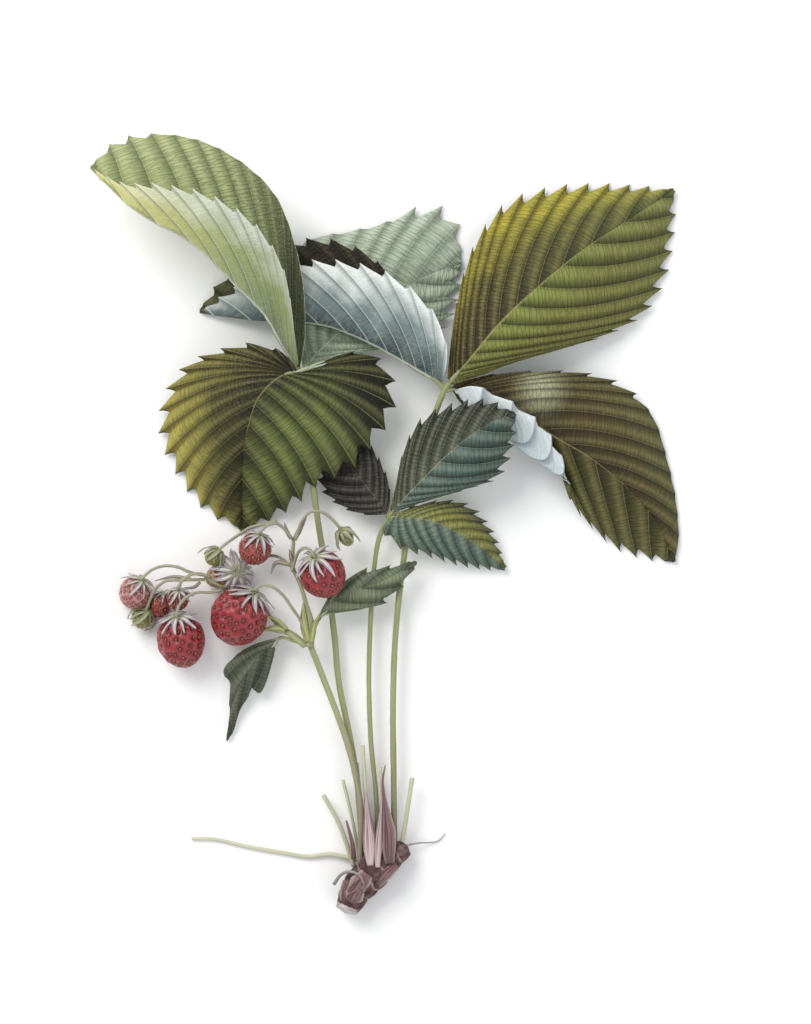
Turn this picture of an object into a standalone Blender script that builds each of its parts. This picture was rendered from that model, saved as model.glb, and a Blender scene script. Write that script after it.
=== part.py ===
"""A woodland strawberry plant, lifted whole and laid on a flat surface.

The frame is +X right, +Y from the root end towards the leaves, +Z up from the
surface at Z = 0. Every length below is in millimetres until an object is made.
"""

import math

import bpy
import numpy as np
from mathutils import Vector

MM = 0.001

# ---- driving dimensions ----
PETIOLE_R = 0.8
MIDDLE_PETIOLE_R = 0.65
PEDUNCLE_R = 0.8
PEDICEL_R = 0.4
BRANCH_R = 0.45
RUNNER_R = 0.55
ROOTLET_R = 0.3
STUB_R = 0.45
STUMP_R = 0.55
WIDE_STUMP_R = 0.75
BLADE_THICKNESS = 0.6
SEPAL_THICKNESS = 0.45
SHEATH_THICKNESS = 0.5
GAP = 0.35
TOOTH_DEPTH = 1.5
RHIZOME_HEIGHT = 4.4
SHARP_ANGLE = 50

UP = Vector((0, 0, 1))

# ---- colours: name -> (red, green, blue, roughness) ----
COLOURS = {
    "leaf_upper_side": (0.10, 0.15, 0.06, 0.5),
    "leaf_stalk": (0.36, 0.40, 0.20, 0.55),
    "sepal": (0.62, 0.60, 0.48, 0.6),
    "ripe_berry": (0.42, 0.05, 0.05, 0.35),
    "green_berry": (0.40, 0.42, 0.20, 0.5),
    "rhizome_bark": (0.10, 0.05, 0.05, 0.8),
    "dry_sheath": (0.40, 0.27, 0.25, 0.7),
}


def clear_scene():
    for thing in list(bpy.data.objects):
        bpy.data.objects.remove(thing, do_unlink=True)


def make_materials():
    made = {}
    for name, (red, green, blue, rough) in COLOURS.items():
        material = bpy.data.materials.new(name)
        material.use_nodes = True
        shader = material.node_tree.nodes["Principled BSDF"]
        shader.inputs["Base Color"].default_value = (red, green, blue, 1)
        shader.inputs["Roughness"].default_value = rough
        shader.inputs["Metallic"].default_value = 0
        made[name] = material
    return made


# ---- curves ----
def smooth_path(points, count):
    """Points spaced evenly along a smooth curve through the given points."""
    pts = np.array(points, float)
    span = np.maximum(np.linalg.norm(np.diff(pts, axis=0), axis=1), 1e-6)[:, None]
    slope = np.diff(pts, axis=0) / span
    inner = (slope[:-1] * span[1:] + slope[1:] * span[:-1]) / (span[1:] + span[:-1])
    tangent = np.vstack([slope[:1], inner, slope[-1:]])
    dense = []
    for i in range(len(pts) - 1):
        t = np.linspace(0, 1, 24, endpoint=False)[:, None]
        dense.append(
            (2 * t**3 - 3 * t**2 + 1) * pts[i]
            + (t**3 - 2 * t**2 + t) * span[i] * tangent[i]
            + (3 * t**2 - 2 * t**3) * pts[i + 1]
            + (t**3 - t**2) * span[i] * tangent[i + 1]
        )
    dense.append(pts[-1:])
    dense = np.vstack(dense)
    along = np.concatenate([[0], np.cumsum(np.linalg.norm(np.diff(dense, axis=0), axis=1))])
    at = np.linspace(0, along[-1], count)
    return np.stack([np.interp(at, along, dense[:, axis]) for axis in range(3)], axis=1)


def at_fraction(path, fractions):
    """Points of an evenly spaced path at the given fractions of its length."""
    steps = np.linspace(0, 1, len(path))
    return np.stack([np.interp(fractions, steps, path[:, axis]) for axis in range(3)], axis=1)


# ---- object making ----
def add_object(name, vertices, faces, material):
    mesh = bpy.data.meshes.new(name)
    mesh.from_pydata([tuple(float(c) * MM for c in v) for v in vertices], [], faces)
    mesh.validate()
    mesh.shade_smooth()
    mesh.set_sharp_from_angle(angle=math.radians(SHARP_ANGLE))
    mesh.materials.append(material)
    thing = bpy.data.objects.new(name, mesh)
    bpy.context.scene.collection.objects.link(thing)
    return thing


def tube(name, points, radii, material, rings=10, sides=6):
    """A round stem along a smooth path, with flat ends; radii run from end to end."""
    path = [Vector(p) for p in smooth_path(points, rings)]
    steps = np.linspace(0, 1, len(radii))
    side = None
    vertices = []
    for i, centre in enumerate(path):
        ahead = path[min(i + 1, rings - 1)]
        behind = path[max(i - 1, 0)]
        along = (ahead - behind).normalized()
        if side is None:
            side = along.orthogonal()
        side = (side - along * side.dot(along)).normalized()
        other = along.cross(side)
        radius = float(np.interp(i / (rings - 1), steps, radii))
        for k in range(sides):
            turn = 2 * math.pi * k / sides
            vertices.append(centre + (side * math.cos(turn) + other * math.sin(turn)) * radius)
    faces = [list(range(sides))[::-1], [(rings - 1) * sides + k for k in range(sides)]]
    for i in range(rings - 1):
        for k in range(sides):
            a, b = i * sides + k, i * sides + (k + 1) % sides
            c, d = b + sides, a + sides
            faces += [(a, b, c), (a, c, d)]
    return add_object(name, vertices, faces, material)


def close_sheet(name, grid, thickness, material):
    """A thin solid around a grid of points; rows run base to tip, columns left to right."""
    rows, columns = grid.shape[:2]
    down = np.gradient(grid, axis=0)
    across = np.gradient(grid, axis=1)
    normal = np.cross(across, down)
    normal /= np.maximum(np.linalg.norm(normal, axis=2, keepdims=True), 1e-9)
    upper = grid + normal * thickness / 2
    lower = grid - normal * thickness / 2
    vertices = np.vstack([upper.reshape(-1, 3), lower.reshape(-1, 3)])
    under = rows * columns
    faces = []
    for i in range(rows - 1):
        for j in range(columns - 1):
            a, b = i * columns + j, i * columns + j + 1
            c, d = b + columns, a + columns
            faces += [(a, b, c), (a, c, d)]
            faces += [(a + under, c + under, b + under), (a + under, d + under, c + under)]
    rim = [j for j in range(columns)]
    rim += [i * columns + columns - 1 for i in range(1, rows)]
    rim += [(rows - 1) * columns + j for j in range(columns - 2, -1, -1)]
    rim += [i * columns for i in range(rows - 2, 0, -1)]
    for a, b in zip(rim, rim[1:] + rim[:1]):
        faces += [(a, a + under, b + under), (a, b + under, b)]
    return add_object(name, vertices, faces, material)


def half_blade(midrib, margin, belly, teeth, tooth, sweep, bulge, columns):
    """One half of a leaflet: side veins run from the midrib to the teeth of the margin."""
    share = np.sort(np.concatenate([np.arange(teeth + 1), np.arange(teeth) + 0.6])) / teeth
    root = at_fraction(midrib, share**sweep)
    edge = at_fraction(margin, share)
    swell = np.sin(np.pi * share)[:, None] ** 0.6
    outward = edge - root
    reach = np.maximum(np.linalg.norm(outward, axis=1, keepdims=True), 1e-6)
    is_tip = (np.arange(len(share)) % 2 == 1)[:, None]
    edge = edge + outward / reach * np.where(is_tip, 0.6, -0.4) * tooth * swell
    if belly is None:
        middle = (root + edge) / 2 + swell * np.array([0, 0, bulge])
    else:
        middle = at_fraction(smooth_path(belly, 200), share)
    control = 2 * middle - (root + edge) / 2
    s = np.linspace(0, 1, columns + 1)[None, :, None]
    root, edge, control = (x[:, None, :] for x in (root, edge, control))
    return (1 - s) ** 2 * root + 2 * s * (1 - s) * control + s**2 * edge


def leaflet(name, shape, material, columns=2):
    """A toothed leaflet as one thin solid; shape holds its midrib and two margins."""
    midrib = smooth_path(shape["midrib"], 200)
    halves = []
    for side in ("left", "right"):
        halves.append(
            half_blade(
                midrib,
                smooth_path(shape[side], 400),
                shape.get(side + "_belly"),
                shape["teeth"],
                shape.get("tooth", TOOTH_DEPTH),
                shape.get("sweep", 1.5),
                shape.get(side + "_bulge", 1.5),
                columns,
            )
        )
    grid = np.concatenate([halves[0][:, ::-1], halves[1][:, 1:]], axis=1)
    return close_sheet(name, grid, BLADE_THICKNESS, material)


def pointed_blade(name, points, widths, material, thickness=SHEATH_THICKNESS, rows=7):
    """A narrow pointed sheath: a flat strip facing up, with the given widths along it."""
    path = smooth_path(points, rows)
    steps = np.linspace(0, 1, len(widths))
    along = np.gradient(path, axis=0)
    across = np.cross(along, np.array([0.0, 0.0, 1.0]))
    across /= np.linalg.norm(across, axis=1, keepdims=True)
    width = np.interp(np.linspace(0, 1, rows), steps, widths)[:, None]
    crown = np.array([0, 0, 0.12]) * width
    grid = np.stack([path - across * width / 2, path + crown, path + across * width / 2], axis=1)
    return close_sheet(name, grid, thickness, material)


def spun(name, centre, axis, half_length, half_width, material, rings=8, sides=12, taper=0.0):
    """A berry: an egg turned about its axis, narrower towards its tip by the taper."""
    turn = UP.rotation_difference(Vector(axis).normalized())
    centre = Vector(centre)
    vertices = [centre + turn @ Vector((0, 0, half_length))]
    for i in range(1, rings):
        polar = math.pi * i / rings
        radius = half_width * math.sin(polar) * (1 - taper * (1 - math.cos(polar)) / 2)
        for k in range(sides):
            phase = 2 * math.pi * k / sides
            point = (radius * math.cos(phase), radius * math.sin(phase), half_length * math.cos(polar))
            vertices.append(centre + turn @ Vector(point))
    vertices.append(centre + turn @ Vector((0, 0, -half_length)))
    last = len(vertices) - 1
    faces = []
    for k in range(sides):
        n = (k + 1) % sides
        faces.append((0, 1 + k, 1 + n))
        faces.append((last, 1 + (rings - 2) * sides + n, 1 + (rings - 2) * sides + k))
        for i in range(rings - 2):
            a, b = 1 + i * sides + k, 1 + i * sides + n
            faces += [(a, a + sides, b + sides), (a, b + sides, b)]
    return add_object(name, vertices, faces, material)


def calyx(name, centre, axis, radius, sepals, spread, material, inner=18):
    """Pointed sepals lying on a ball of the given radius, out to the spread angle."""
    turn = UP.rotation_difference(Vector(axis).normalized())
    centre = Vector(centre)

    def place(polar, phase, lift):
        polar, phase = math.radians(polar), 2 * math.pi * phase / sepals
        flat = math.sin(polar)
        spot = Vector((flat * math.cos(phase), flat * math.sin(phase), math.cos(polar)))
        return centre + turn @ (spot * (radius + lift))

    half = (inner + spread) / 2
    vertices = []
    for lift in (GAP, GAP + SEPAL_THICKNESS):
        vertices.append(place(0, 0, lift))
        for k in range(sepals):
            vertices.append(place(inner, k, lift))
            vertices.append(place(half, k + 0.24, lift))
            vertices.append(place(spread, k + 0.5, lift))
            vertices.append(place(half, k + 0.76, lift))
    layer = 1 + 4 * sepals
    faces = []
    for k in range(sepals):
        a, b, tip, c = (1 + 4 * k + i for i in range(4))
        d = 1 + 4 * ((k + 1) % sepals)
        flat = [(0, a, d), (a, b, c), (a, c, d), (b, tip, c)]
        faces += [tuple(v + layer for v in f) for f in flat]
        faces += [f[::-1] for f in flat]
        for p, q in ((a, b), (b, tip), (tip, c), (c, d)):
            faces += [(p, q, q + layer), (p, q + layer, p + layer)]
    return add_object(name, vertices, faces, material)


# ---- leaflets: midrib and margins run from the leaf stalk to the leaflet's tip ----
LEAFLETS = {
    # left leaf: one leaflet arches up and is folded along its midrib, one hangs, one lies behind
    "leaflet_left_top": {
        "midrib": [(-23.0, 40.6, 13.2), (-26.2, 45.4, 13.6), (-31.4, 54.1, 20), (-37.8, 60.5, 24.5),
                   (-48.6, 71.2, 28), (-63.3, 79.8, 26), (-76.3, 91.8, 16)],
        "left": [(-22.9, 41.0, 13.5), (-23.6, 46, 15.5), (-24.2, 54.4, 21), (-27.5, 68.2, 28),
                 (-34.7, 77.5, 32), (-44.1, 83.1, 33), (-57, 86.2, 30), (-68, 87.6, 23),
                 (-76.1, 92.1, 16.6)],
        "right": [(-22.4, 41.2, 13.1), (-21.3, 46, 13.4), (-21, 53, 14.2), (-21.5, 62, 15.5),
                  (-23.5, 72, 17), (-29, 85.5, 18), (-38, 94, 18), (-50, 99.6, 17.5), (-61, 100.6, 16.5),
                  (-72, 97, 15.5), (-76.2, 92.6, 15.6)],
        "teeth": 11, "sweep": 1.5, "left_bulge": 1.2, "right_bulge": -1.5,
    },
    "leaflet_left_bottom": {
        "midrib": [(-23.6, 39.4, 14.4), (-27.5, 38.2, 16), (-32.5, 33.6, 16), (-35.6, 26, 13.5),
                   (-37.4, 16, 8.5), (-37.8, 7, 4), (-37.6, -1.2, 0.9)],
        "left": [(-22.9, 39.4, 14.6), (-18.9, 40.2, 15), (-13.5, 43.2, 14.3), (-7.7, 44.7, 12.5),
                 (-1.6, 42, 10.6), (1.2, 36, 9.3), (0.1, 28.3, 8.6), (-4, 22.5, 8.6), (-9.5, 15.6, 9),
                 (-17.6, 12, 9.4), (-24, 6.3, 6), (-32, 1.2, 2.2), (-37.2, -1.2, 0.9)],
        "right": [(-24.0, 40, 14.8), (-26.4, 43.9, 16), (-33, 46.4, 14.6), (-43, 45, 10.6),
                  (-51.1, 41.6, 6.8), (-57.2, 33, 3.4), (-58.2, 24, 2), (-54, 13.8, 1.4),
                  (-47, 4.5, 1.0), (-38, -1.1, 0.9)],
        "teeth": 11, "sweep": 1.9, "left_bulge": 2.0, "right_bulge": 3.2,
    },
    "leaflet_left_behind": {
        "midrib": [(-21.2, 40.2, 12.4), (-18.2, 44.4, 9.8), (-10, 52, 6.4), (3, 61, 4.6),
                   (12, 65.8, 2.6), (19.4, 68.4, 0.9)],
        "left": [(-21.6, 40.8, 12.4), (-22.4, 45, 9.0), (-22.8, 51, 5.4), (-22.6, 62, 3.8),
                 (-21.5, 73.6, 2.8),
                 (-11.6, 76.3, 2), (-2.7, 78.1, 1.6), (7, 81.6, 1.3), (15.2, 81.2, 1), (18.8, 76, 0.9),
                 (19.3, 69.2, 0.9)],
        "right": [(-20.4, 40.2, 12.2), (-17, 42.4, 10.4), (-9.3, 45.2, 7.2), (-2.3, 45.9, 5.8),
                  (7, 47.6, 4.4),
                  (13.9, 52.1, 3), (17.4, 59.5, 1.6), (19.4, 67.6, 0.9)],
        "teeth": 9, "sweep": 1.6, "left_bulge": 0.3, "right_bulge": 0.4,
    },
    # right leaf: one leaflet rises to the right, one hangs with a curled edge, one is folded shut
    "leaflet_right_top": {
        "midrib": [(16.4, 36.9, 12.6), (20.8, 41.9, 14.4), (29, 51.8, 15), (38.9, 61.3, 13.6),
                   (51, 71.4, 10), (63.5, 79.8, 5.6), (74.9, 87.4, 0.9)],
        "left": [(16.1, 37.4, 12.6), (16.5, 44, 11.6), (17.6, 53.6, 9.4), (20.2, 65, 6),
                 (24.5, 75.3, 3.6),
                 (31.5, 83.2, 2.2), (42, 87, 1.6), (53, 88.2, 1.2), (65.2, 88, 0.9), (74.6, 87.6, 0.9)],
        "right": [(16.9, 36.7, 12.6), (24.2, 38.8, 12.8), (34, 42.5, 11), (46, 46, 7.6),
                  (57.4, 49.8, 4.6),
                  (66.4, 55.4, 2.4), (71.8, 64.6, 1.3), (74, 75, 1), (75.1, 87.0, 0.9)],
        "teeth": 11, "sweep": 1.35, "left_bulge": 1.6, "right_bulge": 2.0,
    },
    "leaflet_right_bottom": {
        "midrib": [(17.0, 35.2, 11.2), (25.4, 34.3, 10.8), (34.6, 30, 10.2), (41.5, 24.4, 9.6),
                   (53, 17.6, 8), (63, 9.6, 5), (71.2, 0.7, 2.4), (75.8, -8.4, 0.9)],
        "left": [(17.3, 35.9, 11.1), (21.5, 37.6, 10.6), (29, 39.2, 9.2), (39.3, 39.9, 7.6),
                 (50, 39.6, 5.2), (61.3, 36.2, 3.2), (69, 29.1, 1.8), (73.3, 17, 1.2), (76, 3, 0.9),
                 (76.1, -8, 0.9)],
        "right": [(17.0, 34.9, 11.8), (21.6, 36.0, 13.0), (27.4, 34.2, 13.4), (34.6, 30.2, 13),
                  (40.4, 25.4, 12.4),
                  (44.6, 18.4, 11), (47, 8.6, 6), (53, 0.4, 2.4), (61, -5.8, 1.1), (68.6, -8.4, 0.9),
                  (75.4, -8.9, 0.9)],
        "right_belly": [(16.9, 34.6, 11.4), (19.5, 31.6, 11.8), (25.5, 27.4, 11.8), (32.3, 22.6, 11.4),
                        (38.6, 17, 10.8), (45.4, 12.6, 9.6), (51, 9.4, 7.4), (58.6, 4.4, 5),
                        (66, -1.4, 3), (72, -6, 1.6), (75.6, -8.7, 0.9)],
        "teeth": 11, "sweep": 1.3, "left_bulge": 2.0,
    },
    "leaflet_right_folded": {
        "midrib": [(14.0, 36.6, 12.2), (4.6, 42.1, 11.2), (-4.7, 47.3, 10), (-16.3, 51.8, 9.0),
                   (-31.6, 52.8, 6.2), (-48.8, 55.4, 1.0)],
        "left": [(14.4, 37.2, 12.7), (15.5, 41.7, 14.4), (14.6, 50, 15.6), (9, 58.4, 15.8),
                 (0.5, 64.4, 15.2),
                 (-10, 67.4, 13.2), (-21.5, 67.6, 11), (-34, 63.8, 7.6), (-48.6, 55.9, 1.6)],
        "right": [(13.7, 37.3, 12.2), (12.5, 44, 10.2), (8.6, 53, 9.2), (2, 63.5, 8.4),
                  (-5.6, 70.6, 7.6),
                  (-16, 73.9, 6.8), (-27, 72.4, 5.4), (-40, 66.6, 3), (-48.9, 56.4, 1.1)],
        "teeth": 11, "sweep": 1.3, "left_bulge": 0.8, "right_bulge": -0.6,
    },
    # middle leaf: small and flat, in front of the other two stalks
    "leaflet_middle_top": {
        "midrib": [(1.6, 3.6, 8.8), (9, 11.5, 13), (18.8, 20.9, 15.4), (28.2, 27.2, 15.4),
                   (33.2, 28.8, 14.8)],
        "left": [(1.3, 4.2, 8.8), (2.4, 9.4, 10), (4.8, 19.9, 11.6), (8.6, 26.4, 12.6),
                 (16.7, 30.5, 13.6),
                 (26, 31.7, 14.4), (32.8, 29.2, 14.8)],
        "right": [(2.2, 3.7, 8.8), (10.8, 6.5, 10.2), (20, 9.2, 11.6), (28.4, 12.6, 12.8),
                  (32, 20.4, 14),
                  (33.4, 28.2, 14.8)],
        "teeth": 7, "sweep": 1.4, "left_bulge": 0.9, "right_bulge": 0.9,
    },
    "leaflet_middle_right": {
        "midrib": [(2.0, 2.2, 8.3), (11.4, 1.1, 9.4), (21.9, -4.2, 6.8), (30.8, -11.2, 1.6)],
        "left": [(2.3, 2.8, 8.3), (5.9, 4.2, 8.6), (12, 6, 8.2), (20.2, 5.4, 6.4), (26.4, -0.5, 4),
                 (30.9, -10.6, 1.6)],
        "right": [(1.7, 1.6, 8.2), (-0.8, -0.4, 8), (2.7, -4.8, 7.6), (11, -7.6, 6), (20, -10.2, 3.2),
                  (30.4, -11.7, 1.5)],
        "teeth": 7, "sweep": 1.5, "left_bulge": 0.8, "right_bulge": 1.0,
    },
    "leaflet_middle_left": {
        "midrib": [(0.2, 3.3, 8.2), (-4, 8.6, 7.4), (-9, 14.6, 5.8), (-15.5, 22.2, 4)],
        "left": [(-0.2, 2.9, 8.1), (-4.9, 2.7, 7.2), (-11.6, 4.9, 5.4), (-16.6, 9.6, 4.2),
                 (-17.4, 15, 4),
                 (-15.8, 21.9, 4)],
        "right": [(0.6, 3.9, 8.2), (0.8, 9.4, 7.4), (-1, 15, 6.4), (-6, 22, 4.8), (-10, 24.2, 4.2),
                  (-15.2, 22.6, 4)],
        "teeth": 6, "sweep": 1.5, "left_bulge": 0.5, "right_bulge": 0.5,
    },
    # small leaf-like bracts of the flower stalk
    "bract_leaf_right": {
        "midrib": [(-17.9, -25, 8.6), (-15.8, -21.2, 8), (-10, -17.7, 8.2), (-0.3, -14.2, 8.6),
                   (7.8, -9.6, 7.8)],
        "left": [(-18.3, -24.8, 8.6), (-16.1, -20.8, 8), (-13.4, -16.6, 7.4), (-8, -12.6, 7.6),
                 (0, -11.1, 7.8),
                 (7.5, -9.4, 7.8)],
        "right": [(-17.5, -25.1, 8.6), (-15.3, -21.5, 8), (-9, -22.1, 7.4), (-2.4, -20.9, 7.2),
                  (3.6, -16, 7.4),
                  (7.9, -9.9, 7.8)],
        "teeth": 4, "tooth": 1.1, "sweep": 1.25, "left_bulge": 0.4, "right_bulge": 0.5,
    },
    "bract_leaf_left": {
        "midrib": [(-27.5, -29.1, 6.0), (-29.6, -30.8, 5.6), (-34.6, -35.8, 5), (-38.8, -43.4, 3.6),
                   (-41.8, -56.4, 0.9)],
        "left": [(-27.2, -29.5, 6.0), (-29.6, -32, 5.6), (-30.8, -38, 4.8), (-33.6, -43, 3.8),
                 (-37, -47.2, 2.8),
                 (-41.5, -56.4, 0.9)],
        "right": [(-27.8, -28.8, 6.0), (-30.4, -30.4, 5.6), (-35.6, -32.2, 4.6), (-41, -37, 3.2),
                  (-40.8, -45, 2.4), (-42.1, -56.4, 0.9)],
        "teeth": 4, "tooth": 1.8, "sweep": 1.2, "left_bulge": 0.6, "right_bulge": 0.6,
    },
}

# ---- stems: points from the root end outwards, then the radii along them ----
STEMS = {
    "petiole_left": ([(-6.2, -84.6, 4.4), (-6.9, -76, 3.8), (-7.7, -66.6, 3.5), (-9.5, -55.9, 3.4),
                      (-12.6, -40, 3.4), (-13.6, -29, 3.6), (-15.5, -14.3, 4.2), (-18.1, 2.5, 5.4),
                      (-19.2, 10.8, 6.6), (-20.5, 24.7, 9.6), (-22.0, 38.8, 12.8)], [PETIOLE_R], 18, 8),
    "petiole_middle": ([(-2.6, -84, 4.8), (-2.5, -74.3, 4.4), (-4.1, -55.9, 4.2), (-4.6, -40, 4.2),
                        (-4, -21.9, 4.5), (-3.2, -10.9, 5), (-1.4, -2, 6.2), (0.5, 1.4, 7.1)],
                       [MIDDLE_PETIOLE_R], 14, 6),
    "petiole_right": ([(2.0, -80.5, 4.7), (1.9, -68.1, 4.4), (1.7, -48, 4.3), (2.3, -29.1, 4.5),
                       (4.3, -10.3, 5), (6.4, 4, 5.8), (8.7, 14.3, 7), (13.1, 30.2, 10),
                       (15.0, 35.0, 11.6)],
                      [PETIOLE_R], 18, 8),
    "peduncle": ([(-6.9, -84.4, 6.7), (-6.7, -74.3, 6.4), (-7.8, -66.6, 6.2), (-10.5, -55.9, 6),
                  (-13.1, -48.6, 6.4),
                  (-16.4, -40, 7.2), (-19.7, -31.6, 8)], [PEDUNCLE_R], 10, 8),
    "peduncle_upper": ([(-20, -30.9, 8.2), (-19.7, -25.8, 8.8), (-20.9, -20.3, 9.2), (-22.2, -16, 9.5),
                        (-24.2, -11.5, 9.8)], [1.3, 1.0, 0.6, 0.55, 0.55], 8, 6),
    "peduncle_tip": ([(-24.3, -10.6, 9.9), (-24.3, -7, 10), (-24.1, -4, 10)], [0.55, 0.45], 4, 6),
    "side_branch": ([(-21.6, -30.9, 7.6), (-24.6, -28.6, 7.2), (-27.4, -26.8, 6.2), (-30.2, -24, 4.6),
                     (-32.4, -20.6, 3.2), (-35.4, -17.8, 2.8), (-38, -16.7, 2.9), (-40.2, -16.6, 3.7),
                     (-41.3, -16.4, 5.4), (-42.2, -16.3, 7.2), (-43.8, -15.6, 8.5), (-46.6, -13.9, 9.2)],
                    [1.0, 1.0, 0.8, 0.42, 0.42, 0.42, 0.42, 0.4, 0.4, 0.4, 0.4], 18, 6),
    "pedicel_1": ([(-21.0, -27.6, 9.8), (-22.6, -24.2, 10.4), (-24.6, -21.3, 11.2), (-27.1, -17.8, 12),
                   (-30, -15.8, 12.6), (-32.6, -15.6, 12.3), (-33.9, -16.6, 11.6)], [PEDICEL_R], 10, 6),
    "pedicel_2": ([(-43.4, -17.1, 8.9), (-46, -17.5, 9.6), (-49, -17.5, 10.8), (-51.8, -18.7, 12),
                   (-53.8, -21.1, 12.6), (-54.3, -23.2, 12.2)], [PEDICEL_R], 9, 6),
    "pedicel_3": ([(-24.3, -11.4, 11), (-23.6, -9, 12.2), (-22.6, -6.8, 14), (-21, -5.9, 16),
                   (-19.6, -6.4, 17.4),
                   (-18.8, -7.7, 17.8)], [PEDICEL_R], 9, 6),
    "pedicel_4": ([(-24.7, -3.2, 10.6), (-26.5, -1, 11.4), (-28.6, 0.5, 12.2), (-31, -0.2, 12.6),
                   (-32.6, -1.7, 12.3)], [PEDICEL_R], 8, 6),
    "pedicel_5": ([(-47.6, -13.0, 9.9), (-51.1, -12.2, 10.1), (-54.2, -10.9, 10.2), (-57.7, -10.6, 9.8),
                   (-61.2, -11.8, 9), (-63.3, -13.7, 8.4)], [PEDICEL_R], 9, 6),
    "pedicel_6": ([(-46.4, -13.2, 10.5), (-48.6, -12.6, 11.4), (-51, -13, 12), (-53, -14.5, 12.1),
                   (-54, -16.2, 11.6)], [PEDICEL_R], 8, 6),
    "pedicel_7": ([(-25.1, -10.6, 9.0), (-27.5, -8.6, 7.2), (-30, -8, 4.8), (-33, -8.8, 3.2),
                   (-35.8, -9.8, 3.9), (-37.4, -10.0, 5.5)], [PEDICEL_R], 9, 6),
    "pedicel_8": ([(-47.8, -14.2, 8.9), (-53, -14.3, 9), (-57.7, -14.7, 8.6), (-60.4, -17.1, 7.6),
                   (-61.7, -19.8, 6.2), (-62.6, -22, 5.2)], [PEDICEL_R], 9, 6),
    "pedicel_9": ([(-29.2, 0.9, 10.8), (-32.4, 0.1, 8.8), (-35.7, -0.8, 7.6), (-38.5, -2.6, 7.8),
                   (-41.5, -4.7, 8.5), (-43.3, -6.2, 8.3)], [PEDICEL_R], 8, 6),
    "pedicel_10": ([(-23.4, -3.2, 10.4), (-21.8, 1.2, 11.2), (-19.4, 3.5, 11.8), (-16.8, 3.4, 11.8),
                    (-14.2, 1.6, 10.9), (-12.2, -0.7, 9.6)], [PEDICEL_R], 9, 6),
    "runner": ([(-50.9, -82.1, 0.62), (-45.8, -82.2, 0.62), (-36.3, -84.2, 0.62), (-26.7, -85.9, 0.62),
                (-20.8, -86.8, 0.7), (-14.8, -86.2, 1.0), (-10.6, -87.0, 1.4)],
                [0.4, RUNNER_R, RUNNER_R], 14, 6),
    "rootlet": ([(5.8, -83.6, 3.6), (8.8, -83.1, 1.8), (11.6, -83.1, 0.6), (13.4, -82.8, 0.36),
                 (14.9, -81.2, 0.36)], [ROOTLET_R], 8, 6),
    "root_stub": ([(-13.3, -93, 6.4), (-11.8, -90.9, 7.4), (-9.2, -90, 8.8), (-6.9, -91, 9.6),
                   (-6.1, -92.6, 9.6)],
                  [STUB_R], 8, 6),
    "old_stalk_1": ([(-9.7, -85.8, 3.0), (-12.7, -77.4, 3.0), (-16.5, -70.5, 3.2)],
                     [WIDE_STUMP_R], 5, 8),
    "old_stalk_2": ([(-7.8, -83, 2.4), (-9.6, -74, 2.6), (-11.4, -66.6, 2.8)], [STUMP_R], 5, 8),
    "old_stalk_3": ([(-6.7, -78.6, 1.6), (-7.0, -70, 1.5), (-7.6, -62.3, 1.5)], [STUMP_R], 4, 8),
    "old_stalk_4": ([(-4.9, -80, 5.5), (-5.4, -71, 5.2), (-6.2, -57.4, 5)], [STUMP_R], 5, 8),
    "old_stalk_5": ([(-1.2, -82, 6), (-1.1, -72, 5.9), (-1.6, -63, 5.9)], [STUMP_R], 5, 8),
    "old_stalk_6": ([(4.3, -81.4, 4.8), (5.5, -74, 4.7), (6.7, -66, 4.6)], [WIDE_STUMP_R], 5, 8),
}

RHIZOME = ([(-10.1, -99.6, RHIZOME_HEIGHT), (-7.6, -94.6, RHIZOME_HEIGHT), (-3.2, -90.3, RHIZOME_HEIGHT),
            (1.5, -86.5, RHIZOME_HEIGHT), (5.1, -84.1, RHIZOME_HEIGHT)],
            [3.2, 3.9, 4.4, 4.2, 3.0, 1.8, 0.8])

SHEATHS = {
    "sheath_right": ([(0.2, -86.2, 9.1), (0.6, -81, 7.7), (0.4, -75, 7.2), (-0.1, -62.5, 7.2)],
                      [2.2, 3.0, 1.8, 0.4]),
    "sheath_left": ([(-4.2, -87, 8.6), (-4.6, -82, 8.4), (-5.0, -76, 7.8), (-5.4, -69.4, 7.2)],
                     [2.4, 3.0, 1.6, 0.4]),
    "sheath_outer": ([(-8.6, -87, 5.2), (-8.9, -83.4, 5.1), (-9.8, -79.6, 4.9), (-10.5, -77, 4.8)],
                     [1.4, 1.3, 0.8, 0.4]),
}

# ---- berries: centre, direction of the stalk end, half length, half width, taper, ripe ----
BERRIES = {
    "berry_1": ((-38.4, -23.9, 7.75), (4.0, 6.2, 3.2), 7.6, 7.7, 0.06, True),
    "berry_2": ((-53.4, -30.3, 6.9), (-0.8, 6.0, 3.6), 7.3, 6.8, 0.16, True),
    "berry_3": ((-16.4, -12.9, 12.3), (-2.0, 4.2, 4.25), 6.5, 6.3, 0.10, True),
    "berry_4": ((-34.2, -6.3, 8.8), (1.1, 3.2, 2.2), 4.2, 4.5, 0.10, True),
    "berry_5": ((-65.6, -17.7, 4.5), (1.7, 2.7, 2.2), 4.3, 4.3, 0.06, False),
    "berry_6": ((-54.2, -19.4, 8.0), (0.2, 2.0, 2.2), 3.2, 3.0, 0.10, True),
    "berry_7": ((-43.3, -13.0, 3.5), (0.84, 0.46, 0.2), 4.2, 3.2, 0.08, False),
    "berry_8": ((-59.0, -21.0, 3.5), (0.4, 2.2, 1.0), 3.4, 2.8, 0.06, True),
}

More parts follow.
